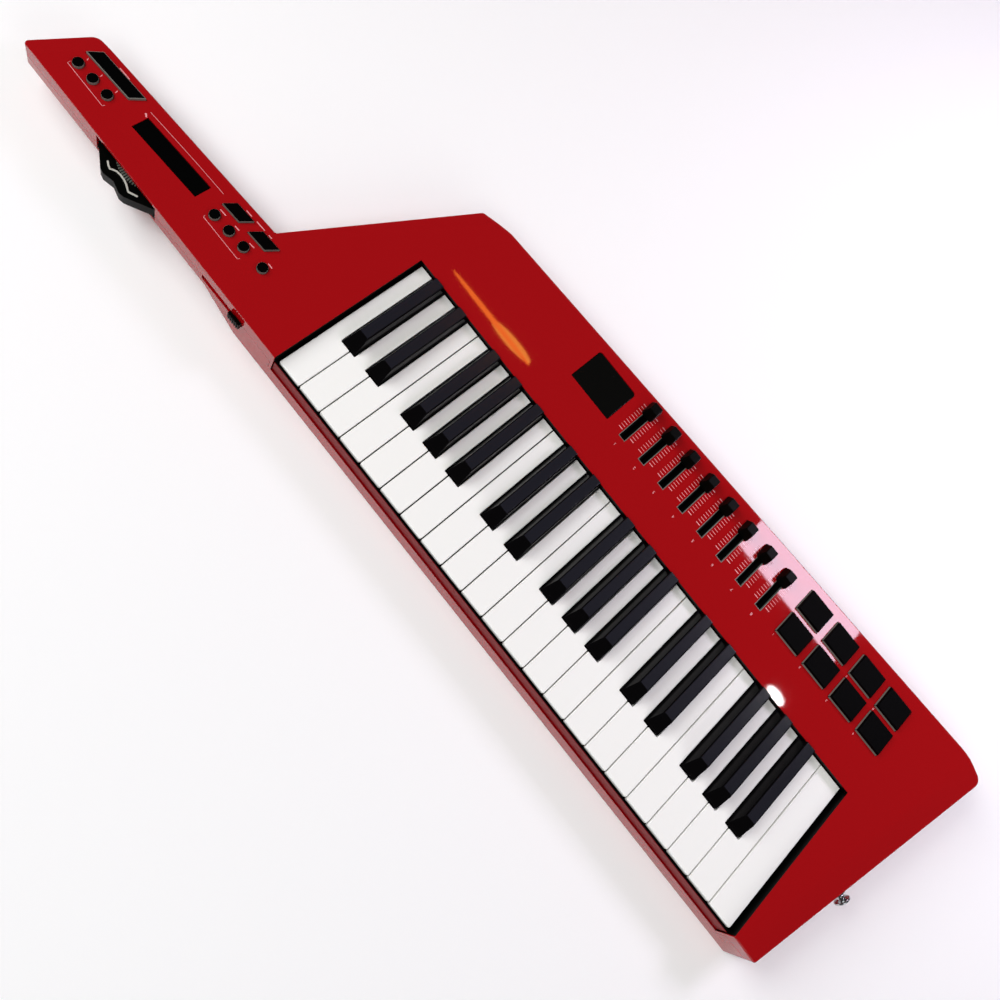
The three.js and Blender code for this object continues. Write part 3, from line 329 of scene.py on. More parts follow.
def band_wedge(name, first, last, start_width, end_width, slope, run_on):
    """The slice that comes off above one sloping band along an edge of the outline."""
    run_in, outside, above = 30, 5 * mm, 9 * mm
    start, end = [Vector(case_corners[at][:2]) * mm for at in (first, last)]
    along = (end - start).normalized()
    inward = Vector((-along.y, along.x))
    start, end = start - along * run_in * mm, end + along * run_on * mm
    work = bmesh.new()
    for corner, width in ((start, start_width * mm), (end, end_width * mm)):
        drop = -slope * (width + outside)
        for inset, level in ((width, 0), (width, above), (-outside, above), (-outside, drop)):
            spot = corner + inward * inset
            work.verts.new((spot.x, spot.y, lid_level + level))
    bmesh.ops.convex_hull(work, input=work.verts)
    return new_piece(name, work)


def settle(piece):
    """Turns a piece's modifiers into plain mesh."""
    shape = bpy.data.meshes.new_from_object(piece.evaluated_get(bpy.context.evaluated_depsgraph_get()))
    piece.modifiers.clear()
    old = piece.data
    piece.data = shape
    bpy.data.meshes.remove(old)


def combine(piece, other, operation):
    """Joins, cuts or intersects a piece with a helper solid, and takes the helper away."""
    step = piece.modifiers.new(operation.lower(), "BOOLEAN")
    step.object = other
    step.operation = operation
    step.solver = "MANIFOLD"
    settle(piece)
    bpy.data.meshes.remove(other.data)


def fair_normals(piece, angle=24):
    """Smooth shading that keeps the big flat faces flat, and the level ones wholly so."""
    for face in piece.data.polygons:
        face.use_smooth = True
    piece.data.set_sharp_from_angle(angle=math.radians(angle))
    fair = piece.modifiers.new("fair", "WEIGHTED_NORMAL")
    fair.keep_sharp = True
    fair.weight = 100
    settle(piece)
    shape = piece.data
    normals = [corner.vector.copy() for corner in shape.corner_normals]
    for face in shape.polygons:
        if abs(face.normal.z) > 0.9999:
            for corner in face.loop_indices:
                normals[corner] = face.normal.copy()
    shape.normals_split_custom_set(normals)


# Black ABS with a fine spark-eroded grain, nearly matt. The grain is drawn coarse enough to show.
matt_black = surface_finish(
    "matt_black_abs", 0.35 * mm, 3,
    {"Base Color": linear("#040504"), "Roughness": 0.42, "Specular IOR Level": 0.06},
    relief=(0.2, 0.03 * mm))

envelope_foot, rim_foot_level = -5 * mm, 30 * mm
rolled = prism("rolled_envelope", rounded_outline(case_corners, math.radians(6)), envelope_foot, lid_level)
for name, band in bands.items():
    combine(rolled, band_wedge(name, *band), "DIFFERENCE")
work = bmesh.new()
work.from_mesh(rolled.data)
bmesh.ops.remove_doubles(work, verts=work.verts, dist=0.01 * mm)
bmesh.ops.dissolve_limit(work, angle_limit=math.radians(0.5), verts=work.verts, edges=work.edges)
rim = [
    edge for edge in work.edges
    if len(edge.link_faces) == 2
    and sorted(abs(face.normal.z) > 0.7 for face in edge.link_faces) == [False, True]
    and min(vert.co.z for vert in edge.verts) > rim_foot_level
]
bmesh.ops.bevel(
    work, geom=rim, offset=lid_roll, segments=5, profile=0.5, affect="EDGES", clamp_overlap=False)
work.to_mesh(rolled.data)
work.free()
lid = shell_copy("lid", "top_cover")
combine(lid, rolled, "INTERSECT")
work = bmesh.new()
work.from_mesh(lid.data)
bmesh.ops.remove_doubles(work, verts=work.verts, dist=0.01 * mm)
bmesh.ops.dissolve_degenerate(work, dist=0.005 * mm, edges=work.edges)
bmesh.ops.triangulate(work, faces=[face for face in work.faces if len(face.verts) > 4], ngon_method="BEAUTY")
work.to_mesh(lid.data)
work.free()
fair_normals(lid)
lid.data.materials.clear()
lid.data.materials.append(red_shell)
for face in lid.data.polygons:
    face.material_index = 0

# The walls of the key recess are matt black up to just below the rolled edge.
recess_half_length, recess_front, recess_top = 260.9, -71.6, 41.9
panel_front = 69.0
paint_faces(lid, matt_black, lambda at, normal: (
    recess_front < at.y < panel_front + 0.5 and at.z < recess_top
    and abs(abs(at.x) - recess_half_length) < 1.2 and abs(normal.x) > 0.9))
paint_faces(lid, matt_black, lambda at, normal: (
    abs(at.y - panel_front) < 1.0 and abs(at.x) < recess_half_length + 1.1 and normal.y < -0.9))
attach(lid, "case")
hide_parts("top_cover")

# Felts: black strips of pressed wool felt that close the gap over the keys under the panel's edge. Along the fronts
# of the keys, on a red rail of the tray, a strip of the same black felt stands where the gap under the key fronts
# lies in shadow: painted shade.


def box_mesh(work, low, high):
    """Adds a box between two corners in millimetres to a mesh in the making."""
    made = bmesh.ops.create_cube(work, size=1)["verts"]
    size = Vector(high) - Vector(low)
    middle = (Vector(high) + Vector(low)) / 2
    for vert in made:
        vert.co = Vector([(vert.co[axis] * size[axis] + middle[axis]) * mm for axis in range(3)])


# Pressed wool felt, dyed black: no shine, with a mottle of fibres drawn coarser than real to show.
black_felt = surface_finish(
    "black_wool_felt", 0.3 * mm, 3, {"Roughness": 1.0, "Specular IOR Level": 0.0},
    tones=((0, "#020202"), (1, "#0A0A0A")))

# Strips across the recess: y and z of two corners, material and edge radius.
strip_half_length = 260.6
strips = {
    "panel_felt": ((69.1, 36.0), (70.3, 39.75), black_felt, 0.3),
    # The front strip stands for the shadow in the gap under the key fronts: painted shade.
    "front_felt": ((-70.8, 31.52), (-69.6, 34.2), black_felt, 0.3),
    # The key rail is in the darker red: painted shade.
    "key_rail": ((-71.0, 16.52), (-69.6, 31.5), red_wall_painted_shade, 0.4),
}
for name, (low, high, material, radius) in strips.items():
    work = bmesh.new()
    box_mesh(work, (-strip_half_length, *low), (strip_half_length, *high))
    strip = new_piece(name, work, material)
    round_edges(strip, radius * mm, 40)
    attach(strip, "case")

# Battery door: a plate of the same gloss red ABS in the back, hinged at its front edge. Five finger
# grooves are moulded along the edge that lifts.
grooves, groove_length, groove_width, groove_depth = 5, 22, 1.2, 0.5
groove_edge, groove_pitch = 4.5, 2.2
door = shell_copy("door", "battery_door")
door_low, door_high = [Vector([pick(corner[axis] for corner in door.bound_box) for axis in range(3)]) / mm
                       for pick in (min, max)]
door_middle = (door_low.x + door_high.x) / 2
work = bmesh.new()
for line in range(grooves):
    y = door_high.y - groove_edge - groove_pitch * line
    box_mesh(
        work, (door_middle - groove_length / 2, y - groove_width / 2, door_low.z - 1),
        (door_middle + groove_length / 2, y + groove_width / 2, door_low.z + groove_depth))
combine(door, new_piece("door_grooves", work, red_shell), "DIFFERENCE")
fair_normals(door)
door.data.materials.clear()
door.data.materials.append(red_shell)
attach(door, "battery_door")
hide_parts("battery_door")

# White keys: one ABS moulding each, with a semi-gloss top and a fine edge radius. A groove under
# the tail of each sits on the pivot rod of the key frame.

# White ABS: bright, faintly warm, semi-gloss, with a very fine moulded grain drawn coarser to show.
white_abs = surface_finish(
    "white_abs", 0.6 * mm, 2, {"Base Color": linear("#FBFBF7"), "Roughness": 0.28, "IOR": 1.5},
    relief=(0.03, 0.02 * mm))

key_names = [name for name in frame["nodes"] if name.startswith("key_") and name != "key_frame"]
for name in [each for each in key_names if "sharp" not in each]:
    key = shell_copy("white_" + name, name)
    key.data.materials.append(white_abs)
    round_edges(key, 0.7 * mm, 30, 3)
    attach(key, name)
    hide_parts(name)

# Black keys: moulded ABS with a satin, faintly blue-black top. Their sides and sloping fronts hardly shine and get
# a darker copy of the same black: the lighter top and darker sides are painted light and painted shade.

# Black ABS, satin on top and dull on the sides, where its darker black is painted shade: a soft broad highlight
# from a fine spark grain, which is drawn at half a millimetre to show.
black_abs, black_abs_painted_shade = [
    surface_finish(
        name, 0.5 * mm, 3, {"Base Color": linear(shade), "Roughness": 0.22, "Specular IOR Level": shine},
        relief=(0.05, 0.02 * mm))
    for name, shade, shine in (("satin_black_abs", "#1B1B22", 0.3), ("black_abs_painted_shade", "#080708", 0.03))
]

for name in [each for each in key_names if "sharp" in each]:
    key = shell_copy("black_" + name, name)
    key.data.materials.append(black_abs)
    # Sides and sloping fronts get the darker copy: painted shade.
    paint_faces(key, black_abs_painted_shade, lambda at, normal: normal.z < 0.85)
    round_edges(key, 0.7 * mm, 20, 3)
    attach(key, name)
    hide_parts(name)

# Key frame: a dark glass-filled nylon moulding, screwed into the tray under the keys. The pivot rod
# of the keys runs along its back, and the rubber contact strip lies on it.

# Glass-filled nylon: dull dark grey with the faint flow mottle of the filler.
filled_nylon = surface_finish(
    "glass_filled_nylon", 4 * mm, 4, {"Roughness": 0.6}, tones=((0, "#232427"), (1, "#33353A")))
for slot in frame["nodes"]["key_frame"].material_slots:
    slot.material = filled_nylon

# Circuit boards: green solder mask on glass fibre, with black slide bodies, a black display module
# and a black pad sensor soldered on the panel board, and the slider body on the neck board.

# FR4 glass fibre under green solder mask, with copper tracks showing as lighter bands.
track = 1.6 * mm
green_board, tree = new_material("green_solder_mask")
place = add_node(tree, "ShaderNodeTexCoord")
tracks = add_node(
    tree, "ShaderNodeTexBrick",
    {"Color1": linear("#1A5230"), "Color2": linear("#1F5E38"), "Mortar": linear("#2C7A49"), "Scale": 0.25 / track},
    {"Vector": place.outputs["Object"]})
mask = add_node(tree, "ShaderNodeBsdfPrincipled", {"Roughness": 0.35}, {"Base Color": tracks.outputs["Color"]})
add_node(tree, "ShaderNodeOutputMaterial", links={"Surface": mask.outputs[0]})

board_levels = {"panel_board": (29.9, 31.8), "neck_board": (35.7, 37.5)}
for name, (foot, top) in board_levels.items():
    board = shell_copy(name + "_dressed", name)
    board.data.materials.append(green_board)
    paint_faces(board, matt_black, lambda centre, normal: not foot < centre.z < top)
    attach(board, frame["nodes"][name]["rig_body"])
    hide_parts(name)

# Slide controls: eight black caps on flat stems, each in a slot with a thin grey rim, between two
# rows of printed ticks. The caps are moulded ABS, pressed on the stems of the slide bodies.
fader_first, fader_pitch = -55.7, 24.2
fader_places = [fader_first + fader_pitch * index for index in range(8)]
slot_ends = (108.6, 150.4)
slot_width = 7.4
rim_wall, rim_gap = 0.55, 0.02
rim_foot, rim_top = 40.1, 42.56

# Mid-grey ABS: a low sheen on thin rims, from a moulded grain drawn coarse enough to show.
grey_abs = surface_finish(
    "grey_abs", 0.4 * mm, 2, {"Base Color": linear("#5E6159"), "Roughness": 0.45}, relief=(0.1, 0.02 * mm))

work = bmesh.new()
for x in fader_places:
    left, right = x - slot_width / 2 + rim_gap, x + slot_width / 2 - rim_gap
    front, back = slot_ends[0] + rim_gap, slot_ends[1] - rim_gap
    for low, high in (
            ((left, front), (left + rim_wall, back)), ((right - rim_wall, front), (right, back)),
            ((left + rim_wall, front), (right - rim_wall, front + rim_wall)),
            ((left + rim_wall, back - rim_wall), (right - rim_wall, back))):
        box_mesh(work, (*low, rim_foot), (*high, rim_top))
slot_rims = new_piece("slot_rims", work, grey_abs)
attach(slot_rims, "case")

for index in range(1, 9):
    name = "fader_cap_%d" % index
    cap = shell_copy("moulded_" + name, name)
    cap.data.materials.append(matt_black)
    round_edges(cap, 0.7 * mm, 25, 3)
    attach(cap, name)
    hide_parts(name)

# Screen printed white ink: flat, and pink where the red shows through its thin coat.
ink = surface_finish(
    "printed_white_ink", 0.5 * mm, 2, {"Roughness": 0.4}, tones=((0.3, "#D2666C"), (0.6, "#F0B0B4")))
ink_level = 42.53
ink_height = 0.06


def node_group(name, sizes):
    """A Geometry Nodes tree whose named inputs are lengths or counts, and its input identifiers."""
    tree = bpy.data.node_groups.new(name, "GeometryNodeTree")
    tree.interface.new_socket("Geometry", in_out="OUTPUT", socket_type="NodeSocketGeometry")
    keys = {}
    for label, kind in sizes.items():
        socket = tree.interface.new_socket(label, in_out="INPUT", socket_type=kind)
        keys[label] = socket.identifier
    return tree, keys


def grow(name, tree, keys, values):
    """Runs a Geometry Nodes tree with its values and keeps the result as a plain mesh piece."""
    piece = add_object(name, bpy.data.meshes.new(name))
    maker = piece.modifiers.new(name, "NODES")
    maker.node_group = tree
    for label, value in values.items():
        maker[keys[label]] = value
    settle(piece)
    return piece


def tick_rows():
    """Rows of short printed ticks beside every slide control."""
    tree, keys = node_group("tick_rows", {
        "Controls": "NodeSocketInt", "Control Pitch": "NodeSocketFloat", "Ticks": "NodeSocketInt",
        "Tick Pitch": "NodeSocketFloat", "Tick Length": "NodeSocketFloat", "Tick Width": "NodeSocketFloat",
        "Ink": "NodeSocketFloat", "Start": "NodeSocketVector",
    })
    given = add_node(tree, "NodeGroupInput")
    across = add_node(tree, "ShaderNodeCombineXYZ", links={"X": given.outputs["Control Pitch"]})
    along = add_node(tree, "ShaderNodeCombineXYZ", links={"Y": given.outputs["Tick Pitch"]})
    size = add_node(tree, "ShaderNodeCombineXYZ", links={
        "X": given.outputs["Tick Length"], "Y": given.outputs["Tick Width"], "Z": given.outputs["Ink"]})
    tick = add_node(tree, "GeometryNodeMeshCube", links={"Size": size.outputs[0]})
    column = add_node(
        tree, "GeometryNodeMeshLine",
        links={"Count": given.outputs["Ticks"], "Offset": along.outputs[0]})
    row = add_node(tree, "GeometryNodeMeshLine", links={
        "Count": given.outputs["Controls"], "Start Location": given.outputs["Start"], "Offset": across.outputs[0]})
    ticks = add_node(tree, "GeometryNodeInstanceOnPoints", links={
        "Points": column.outputs[0], "Instance": tick.outputs[0]})
    solid_column = add_node(tree, "GeometryNodeRealizeInstances", links={"Geometry": ticks.outputs[0]})
    columns = add_node(tree, "GeometryNodeInstanceOnPoints", links={
        "Points": row.outputs[0], "Instance": solid_column.outputs[0]})
    solid = add_node(tree, "GeometryNodeRealizeInstances", links={"Geometry": columns.outputs[0]})
    inked = add_node(
        tree, "GeometryNodeSetMaterial", {"Material": ink}, {"Geometry": solid.outputs[0]})
    add_node(tree, "NodeGroupOutput", links={"Geometry": inked.outputs[0]})
    return tree, keys


# Ticks: count, pitch, width, and how far the print stands over the finer print beside it.
tick_front, tick_pitch, tick_length, tick_reach = 114.5, 3.0, 4.2, 6.9
tick_kinds = {"fine": (11, tick_pitch, 0.36, 0), "end": (2, 10 * tick_pitch, 0.6, 0.01)}
tick_tree, tick_keys = tick_rows()
for side, reach in (("left", -tick_reach), ("right", tick_reach)):
    for kind, (count, pitch, width, lift) in tick_kinds.items():
        ticks = grow("ticks_%s_%s" % (side, kind), tick_tree, tick_keys, {
            "Controls": len(fader_places), "Control Pitch": fader_pitch * mm, "Ticks": count,
            "Tick Pitch": pitch * mm, "Tick Length": tick_length * mm, "Tick Width": width * mm,
            "Ink": ink_height * mm, "Start": Vector((fader_first + reach, tick_front, ink_level + lift)) * mm,
        })
        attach(ticks, "case")


def printed_figure(name, figure, x, y, height):
    """A printed figure, upright for one who looks at the panel from its far side."""
    curve = bpy.data.curves.new(name, "FONT")
    curve.body = figure
    curve.align_x = "CENTER"
    curve.align_y = "CENTER"
    curve.size = height * mm * 1.4
    curve.extrude = ink_height * mm / 2
    curve.resolution_u = 3
    lettering = add_object(name, curve)
    mesh = bpy.data.meshes.new_from_object(lettering.evaluated_get(bpy.context.evaluated_depsgraph_get()))
    bpy.data.objects.remove(lettering)
    mesh.transform(Matrix.Translation(Vector((x, y, ink_level)) * mm) @ Matrix.Rotation(math.pi, 4, "Z"))
    mesh.materials.clear()
    mesh.materials.append(ink)
    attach(add_object(name, mesh), "case")


fader_figure_line, fader_figure_height = 101, 2.6
for index, x in enumerate(fader_places):
    printed_figure(
        "fader_figure_%d" % (index + 1), str(index + 1), x, fader_figure_line, fader_figure_height)

# Drum pads: one black silicone mat whose eight pads rise through the panel. Their tops are black
# and their sloping sides a lighter grey, because the side skin is thinner there.

# Black silicone rubber: matt and faintly dusty, with an etched grain drawn coarse enough to show.
rubber_black = surface_finish(
    "black_silicone", 0.6 * mm, 3,
    {"Base Color": linear("#030303"), "Roughness": 0.6, "Specular IOR Level": 0.04}, relief=(0.15, 0.04 * mm))

# Grey silicone: the cloudy, light-passing sides of the pads and buttons.
rubber_grey = surface_finish(
    "grey_silicone", 0.8 * mm, 2, {"Roughness": 0.5, "IOR": 1.43}, tones=((0, "#74766E"), (1, "#8A8C84")))


def rubber_piece(name, node, body, edge, edge_skin, grey_top):
    """A rubber moulding with a black top and grey sides up to a level in mm. The rounded edge is
    black (0) or grey (1)."""
    piece = shell_copy(name, node)
    piece.data.materials.append(rubber_black)
    work = bmesh.new()
    work.from_mesh(piece.data)
    bmesh.ops.bisect_plane(
        work, geom=work.verts[:] + work.edges[:] + work.faces[:], plane_co=(0, 0, grey_top * mm),
        plane_no=(0, 0, 1))
    work.to_mesh(piece.data)
    work.free()
    skin_foot = 41
    paint_faces(piece, rubber_grey, lambda centre, normal: skin_foot < centre.z < grey_top and normal.z < 0.6)
    round_edges(piece, edge * mm, 15, 2).material = edge_skin
    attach(piece, body)
    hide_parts(node)


pad_figure_first, pad_figure_pitch, pad_figure_height = (137, 104.9), (32.8, 28.4), 2.0
rubber_piece("drum_pads", "pad_mat", "case", 0.55, 0, 43.9)
for index in range(8):
    printed_figure(
        "pad_figure_%d" % (index + 1), str(index + 1), pad_figure_first[0] + pad_figure_pitch[0] * (index % 4),
        pad_figure_first[1] + pad_figure_pitch[1] * (index // 4), pad_figure_height)

# Display: a window of smoked acrylic, cut from cast sheet and glued flush in the panel, with two
# small lenses of the same sheet along its far edge.

# Cast acrylic, smoked nearly black and polished, so it shows sharp reflections.
acrylic = surface_finish(
    "smoked_acrylic", 20 * mm, 3, {"Base Color": linear("#050504"), "IOR": 1.49, "Specular IOR Level": 0.3},
    gloss=(0.06, 0.16))
window = shell_copy("window", "display_window")
window.data.materials.append(acrylic)
round_edges(window, 0.3 * mm, 40)
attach(window, "case")
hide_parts("display_window")

lens_front, lens_back, lens_length, lens_radius = 137, 141.5, 15.5, 2.2
lens_foot, lens_top = 42.2, 42.42
for side, x in (("left", -112.5), ("right", -89.5)):
    lens_corners = [
        (x, lens_front, lens_radius), (x + lens_length, lens_front, lens_radius),
        (x + lens_length, lens_back, lens_radius), (x, lens_back, lens_radius),
    ]
    outline = rounded_outline(lens_corners, math.radians(15))
    lens = prism("lens_" + side, outline, lens_foot * mm, lens_top * mm, acrylic)
    round_edges(lens, 0.12 * mm, 40)
    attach(lens, "case")

# Neck controls: a black touch strip in a shallow bed, one silicone keypad with seven round and
# two bar buttons, and the long bar button near the tip.
strip = shell_copy("strip", "touch_strip")
strip.data.materials.append(rubber_black)
work = bmesh.new()
work.from_mesh(strip.data)
uprights = [edge for edge in work.edges if abs(edge.verts[0].co.x - edge.verts[1].co.x) < 0.01 * mm
            and abs(edge.verts[0].co.y - edge.verts[1].co.y) < 0.01 * mm]
bmesh.ops.bevel(work, geom=uprights, offset=2.4 * mm, segments=5, profile=0.5, affect="EDGES")
work.to_mesh(strip.data)
work.free()
round_edges(strip, 0.3 * mm, 40)
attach(strip, "case")
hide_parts("touch_strip")
rubber_piece("neck_buttons", "neck_keypad", "case", 0.7, 1, 60)
rubber_piece("long_button", "sustain_button", "sustain_button", 0.7, 1, 60)


def ribbon(name, points, width, low, high, material):
    """A raised line of constant width along points in the plan, in millimetres."""
    work = bmesh.new()
    spots = [Vector(point) for point in points]
    sides = []
    for index, spot in enumerate(spots):
        before = spots[max(index - 1, 0)]
        after = spots[min(index + 1, len(spots) - 1)]
        along = (after - before).normalized()
        aside = Vector((-along.y, along.x)) * width / 2
        ring = [(spot + aside, low), (spot - aside, low), (spot - aside, high), (spot + aside, high)]
        sides.append([work.verts.new((at.x * mm, at.y * mm, z * mm)) for at, z in ring])
    for first, second in zip(sides, sides[1:]):
        for corner in range(4):
            after = (corner + 1) % 4
            work.faces.new((first[corner], first[after], second[after], second[corner]))
    work.faces.new(sides[0][::-1])
    work.faces.new(sides[-1])
    return new_piece(name, work, material)


# Printed lines and dashes of the neck, and two pale marks in the same ink that are painted highlights on the ridge
# and corner of the touch strip's bed: width, and points along the middle.
neck_lines = {
    "tip_bracket": (0.4, [(-525.2, -53.9), (-525.0, -56.2), (-484.4, -56.0), (-483.8, -54.3)]),
    "low_bracket": (0.4, [(-376.2, -46.2), (-375.6, -48.2), (-336.2, -47.9), (-335.4, -46.1)]),
    # A painted highlight along the ridge of the strip's bed, in the pale ink, and below it a painted highlight at
    # the bed's corner.
    "strip_line": (0.32, [(-463.7, -29.8), (-433.3, -27.6), (-410.7, -26.2), (-383.1, -24.9)]),
    "strip_mark": (1.28, [(-464.6, -33.2), (-461.6, -34.8)]),
    "bar_mark": (0.72, [(-504.3, -27.1), (-493.2, -26.6)]),
    "tip_dash_1": (0.56, [(-521.2, -41.4), (-520.4, -43.4)]),
    "tip_dash_2": (0.56, [(-505.2, -41.0), (-504.8, -43.4)]),
    "tip_dash_3": (0.56, [(-489.3, -39.5), (-488.7, -41.9)]),
    "low_dash_1": (0.72, [(-374.1, -34.4), (-368.0, -34.0)]),
    "low_dash_2": (0.72, [(-358.1, -33.5), (-353.4, -33.2)]),
    "low_dash_3": (0.72, [(-341.6, -33.1), (-336.6, -32.5)]),
    "low_dash_4": (0.72, [(-321.2, -31.5), (-316.7, -31.5)]),
    "bar_dash_1": (0.72, [(-363.7, -18.8), (-357.8, -18.6)]),
    "bar_dash_2": (0.72, [(-352.5, -17.9), (-343.7, -17.5)]),
    "bar_dash_3": (0.72, [(-339.1, -17.3), (-335.9, -17.0)]),
}
line_foot, line_top = 42.5, 42.56
for name, (width, points) in neck_lines.items():
    line = ribbon(name, points, width, line_foot, line_top, ink)
    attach(line, "case")

# Pitch wheel: a rocker of black ABS in the front wall, with a silver trim line that follows its hollow and a ring
# of short ribs behind it; the trim's brightness is partly a painted highlight. It turns on a post of the black
# carriage around it.
wheel_x, wheel_y, wheel_top = -434.01, -49, 34.8
wheel = shell_copy("rocker", "pitch_wheel")
wheel.data.materials.append(matt_black)
round_edges(wheel, 1.2 * mm, 30, 3)
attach(wheel, "pitch_wheel")
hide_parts("pitch_wheel")
carriage = shell_copy("carriage", "wheel_housing")
carriage.data.materials.append(matt_black)
round_edges(carriage, 0.4 * mm, 40)
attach(carriage, "case")
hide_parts("wheel_housing")

# Silver lacquer over moulded ABS: metal flakes under a clear coat, a soft nickel shine. Its pale, bright base
# colour is partly a painted highlight along the trim.
silver_and_highlight = surface_finish(
    "silver_lacquer_and_highlight", 3 * mm, 2, {"Base Color": linear("#D6D5CB"), "Metallic": 0.3}, gloss=(0.3, 0.42))
trim_width, trim_half_height = 1.5, 0.5

# Points along the middle of the trim, in millimetres from the wheel's axis.
trim_run = [
    (-15.6, -27.0), (-12.2, -28.7), (-9.3, -29.6), (-8.2, -28.4), (-5.2, -26.7), (-1.5, -26.1), (3.0, -26.3),
    (7.0, -27.3), (11.3, -29.2), (12.3, -29.5), (15.3, -27.8), (18.8, -26.2),
]
# The trim's pale bright colour is partly a painted highlight on the rib's edge.
trim = ribbon(
    "wheel_trim", [(wheel_x + x, wheel_y + y) for x, y in trim_run], trim_width,
    wheel_top - trim_half_height, wheel_top + trim_half_height, silver_and_highlight)
round_edges(trim, 0.4 * mm, 40, 3)
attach(trim, "pitch_wheel")


def rib_ring():
    """Short radial ribs spread along an arc."""
    tree, keys = node_group("wheel_ribs", {
        "Ribs": "NodeSocketInt", "First Turn": "NodeSocketFloat", "Turn": "NodeSocketFloat",
        "Radius": "NodeSocketFloat", "Size": "NodeSocketVector", "Centre": "NodeSocketVector",
    })
    given = add_node(tree, "NodeGroupInput")
    row = add_node(tree, "GeometryNodeMeshLine", {"Offset": (0, 0, 0)}, {"Count": given.outputs["Ribs"]})
    rib = add_node(tree, "GeometryNodeMeshCube", links={"Size": given.outputs["Size"]})
    outwards = add_node(tree, "ShaderNodeCombineXYZ", links={"X": given.outputs["Radius"]})
    moved = add_node(
        tree, "GeometryNodeTransform", links={"Geometry": rib.outputs[0], "Translation": outwards.outputs[0]})
    index = add_node(tree, "GeometryNodeInputIndex")
    spin = add_node(
        tree, "ShaderNodeMath", operation="MULTIPLY_ADD",
        links={0: index.outputs[0], 1: given.outputs["Turn"], 2: given.outputs["First Turn"]})
    turned = add_node(tree, "ShaderNodeCombineXYZ", links={"Z": spin.outputs[0]})
    placed = add_node(tree, "GeometryNodeInstanceOnPoints", links={
        "Points": row.outputs[0], "Instance": moved.outputs[0], "Rotation": turned.outputs[0]})
    solid = add_node(tree, "GeometryNodeRealizeInstances", links={"Geometry": placed.outputs[0]})
    centred = add_node(
        tree, "GeometryNodeTransform", links={"Geometry": solid.outputs[0], "Translation": given.outputs["Centre"]})
    finished = add_node(
        tree, "GeometryNodeSetMaterial", {"Material": grey_abs}, {"Geometry": centred.outputs[0]})
    add_node(tree, "NodeGroupOutput", links={"Geometry": finished.outputs[0]})
    return tree, keys


rib_tree, rib_keys = rib_ring()
ribs = grow("wheel_ribs", rib_tree, rib_keys, {
    "Ribs": 17, "First Turn": math.radians(-130), "Turn": math.radians(5), "Radius": 22.0 * mm,
    "Size": Vector((7.0, 1.05, 1.8)) * mm, "Centre": Vector((wheel_x, wheel_y, wheel_top)) * mm,
})
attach(ribs, "pitch_wheel")

# Volume slider: a black ABS knob on a flat stem, in a slot of the front wall. Five ridges for the
# finger are moulded across its face.
knob = shell_copy("knob", "volume_slider")
knob.data.materials.append(matt_black)
round_edges(knob, 0.5 * mm, 40, 3)
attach(knob, "volume_slider")
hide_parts("volume_slider")
knob_middle = Vector((-303.5, -75.2, 27.5))
ridge_pitch, ridge_half_width, ridge_half_height = 2.2, 0.45, 3.6
ridge_out, ridge_in = 0.6, 0.4
work = bmesh.new()
for line in range(-2, 3):
    middle = knob_middle + Vector((ridge_pitch * line, 0, 0))
    box_mesh(
        work, middle + Vector((-ridge_half_width, -ridge_out, -ridge_half_height)),
        middle + Vector((ridge_half_width, ridge_in, ridge_half_height)))
knob_ridges = new_piece("knob_ridges", work, matt_black)
round_edges(knob_ridges, 0.2 * mm, 40)
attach(knob_ridges, "volume_slider")

# Strap pegs: turned steel, chromium plated, one screwed into the right end and one into the far
# wall behind the lowest keys. A strap's slot goes over the head.

# Turned steel with bright chromium plate, a little uneven in its shine from the turning.
chrome = surface_finish(
    "chromed_steel", 0.4 * mm, 1, {"Base Color": linear("#C9CACC"), "Metallic": 1.0}, gloss=(0.1, 0.22))

# Half the section of a peg: radius, and height over the wall.
peg_profile = [
    (0, -4.9), (1.9, -4.9), (1.9, 0.32), (5.1, 0.32), (5.45, 0.6), (5.45, 1.4), (5.0, 1.9), (3.7, 2.4), (3.2, 3.0),
    (3.15, 4.0), (3.2, 5.0), (3.9, 5.7), (5.6, 6.2), (6.3, 6.6), (6.45, 7.2), (6.3, 7.9), (5.6, 8.45), (4.6, 8.6),
    (1.9, 8.6), (1.6, 7.8), (0, 7.8),
]


def turned_peg(name, place, outward):
    """A peg turned about its own axis and set on the wall, pointing outwards."""
    work = bmesh.new()
    chain = [work.verts.new((radius * mm, 0, height * mm)) for radius, height in peg_profile]
    edges = [work.edges.new(pair) for pair in zip(chain, chain[1:])]
    bmesh.ops.spin(
        work, geom=chain + edges, cent=(0, 0, 0), axis=(0, 0, 1), angle=2 * math.pi, steps=40, use_duplicate=False)
    bmesh.ops.remove_doubles(work, verts=work.verts, dist=0.01 * mm)
    lay = Vector(outward).to_track_quat("Z", "Y").to_matrix().to_4x4()
    bmesh.ops.transform(work, matrix=Matrix.Translation(Vector(place) * mm) @ lay, verts=work.verts)
    piece = new_piece(name, work, chrome)
    fair_normals(piece, 40)
    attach(piece, "case")
    return piece


end_peg = turned_peg("end_peg", (306.37, 16, 32), (0.972884, -0.231295, 0))
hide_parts("strap_peg")
turned_peg("back_peg", (-216.5, 149.111, 15.5), (-0.050428, 0.998728, 0))

# Case screws: cross-recess pan heads of blackened steel. They come up from the back through the
# tray into posts of the top cover, and their heads lie sunk in the back.

# Steel with a black zinc finish: dark, with a low oily shine.
black_zinc = surface_finish(
    "black_zinc_steel", 1.5 * mm, 2, {"Base Color": linear("#3A3B3D"), "Metallic": 1.0}, gloss=(0.3, 0.5))


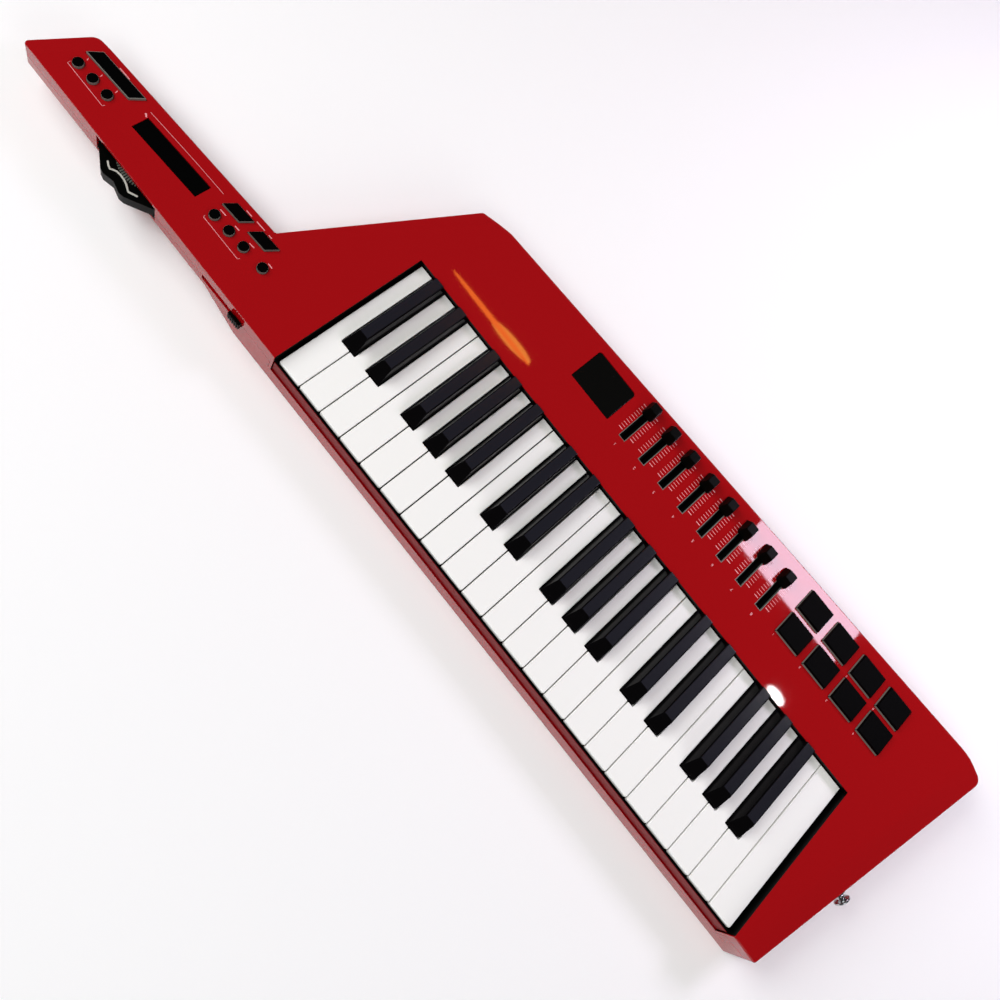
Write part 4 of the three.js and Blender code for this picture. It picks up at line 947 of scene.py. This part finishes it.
def screw_set():
    """A round head with a cross recess on every point of a given mesh."""
    tree, keys = node_group("case_screws", {
        "Places": "NodeSocketObject", "Head Radius": "NodeSocketFloat", "Head Height": "NodeSocketFloat",
        "Recess Width": "NodeSocketFloat", "Recess Length": "NodeSocketFloat",
    })
    given = add_node(tree, "NodeGroupInput")
    spots = add_node(tree, "GeometryNodeObjectInfo", links={"Object": given.outputs["Places"]})
    head = add_node(
        tree, "GeometryNodeMeshCylinder", {"Vertices": 28},
        {"Radius": given.outputs["Head Radius"], "Depth": given.outputs["Head Height"]})
    bars = []
    for first, second in (("Recess Length", "Recess Width"), ("Recess Width", "Recess Length")):
        size = add_node(tree, "ShaderNodeCombineXYZ", links={
            "X": given.outputs[first], "Y": given.outputs[second], "Z": given.outputs["Head Height"]})
        bars.append(add_node(tree, "GeometryNodeMeshCube", links={"Size": size.outputs[0]}))
    drop = add_node(tree, "ShaderNodeMath", {1: -0.4}, {0: given.outputs["Head Height"]}, operation="MULTIPLY")
    low = add_node(tree, "ShaderNodeCombineXYZ", links={"Z": drop.outputs[0]})
    cross = add_node(tree, "GeometryNodeMeshBoolean", operation="UNION")
    for bar in bars:
        tree.links.new(bar.outputs[0], cross.inputs["Mesh 2"])
    lowered = add_node(
        tree, "GeometryNodeTransform", links={"Geometry": cross.outputs[0], "Translation": low.outputs[0]})
    recessed = add_node(
        tree, "GeometryNodeMeshBoolean", links={"Mesh 1": head.outputs[0], "Mesh 2": lowered.outputs[0]},
        operation="DIFFERENCE")
    placed = add_node(tree, "GeometryNodeInstanceOnPoints", links={
        "Points": spots.outputs["Geometry"], "Instance": recessed.outputs[0]})
    solid = add_node(tree, "GeometryNodeRealizeInstances", links={"Geometry": placed.outputs[0]})
    finished = add_node(
        tree, "GeometryNodeSetMaterial", {"Material": black_zinc}, {"Geometry": solid.outputs[0]})
    add_node(tree, "NodeGroupOutput", links={"Geometry": finished.outputs[0]})
    return tree, keys


body_level, neck_level = 1.04, 20.04

# The middle of each head, in millimetres.
screw_places = [
    (-283.5, -49.0, body_level), (-283.5, 56.0, body_level), (-258.5, 116.0, body_level),
    (-131.7, 129.0, body_level), (275.5, 36.0, body_level), (301.5, 146.2, body_level),
    (-520.5, -63.0, neck_level), (-376.6, -63.0, neck_level),
]
points = add_object("screw_places", bpy.data.meshes.new("screw_places"))
points.data.from_pydata([Vector(place) * mm for place in screw_places], [], [])
screw_tree, screw_keys = screw_set()
screws = grow("case_screws", screw_tree, screw_keys, {
    "Places": points, "Head Radius": 2.9 * mm, "Head Height": 1.1 * mm, "Recess Width": 0.75 * mm,
    "Recess Length": 3.1 * mm,
})
bpy.data.meshes.remove(points.data)
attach(screws, "case")
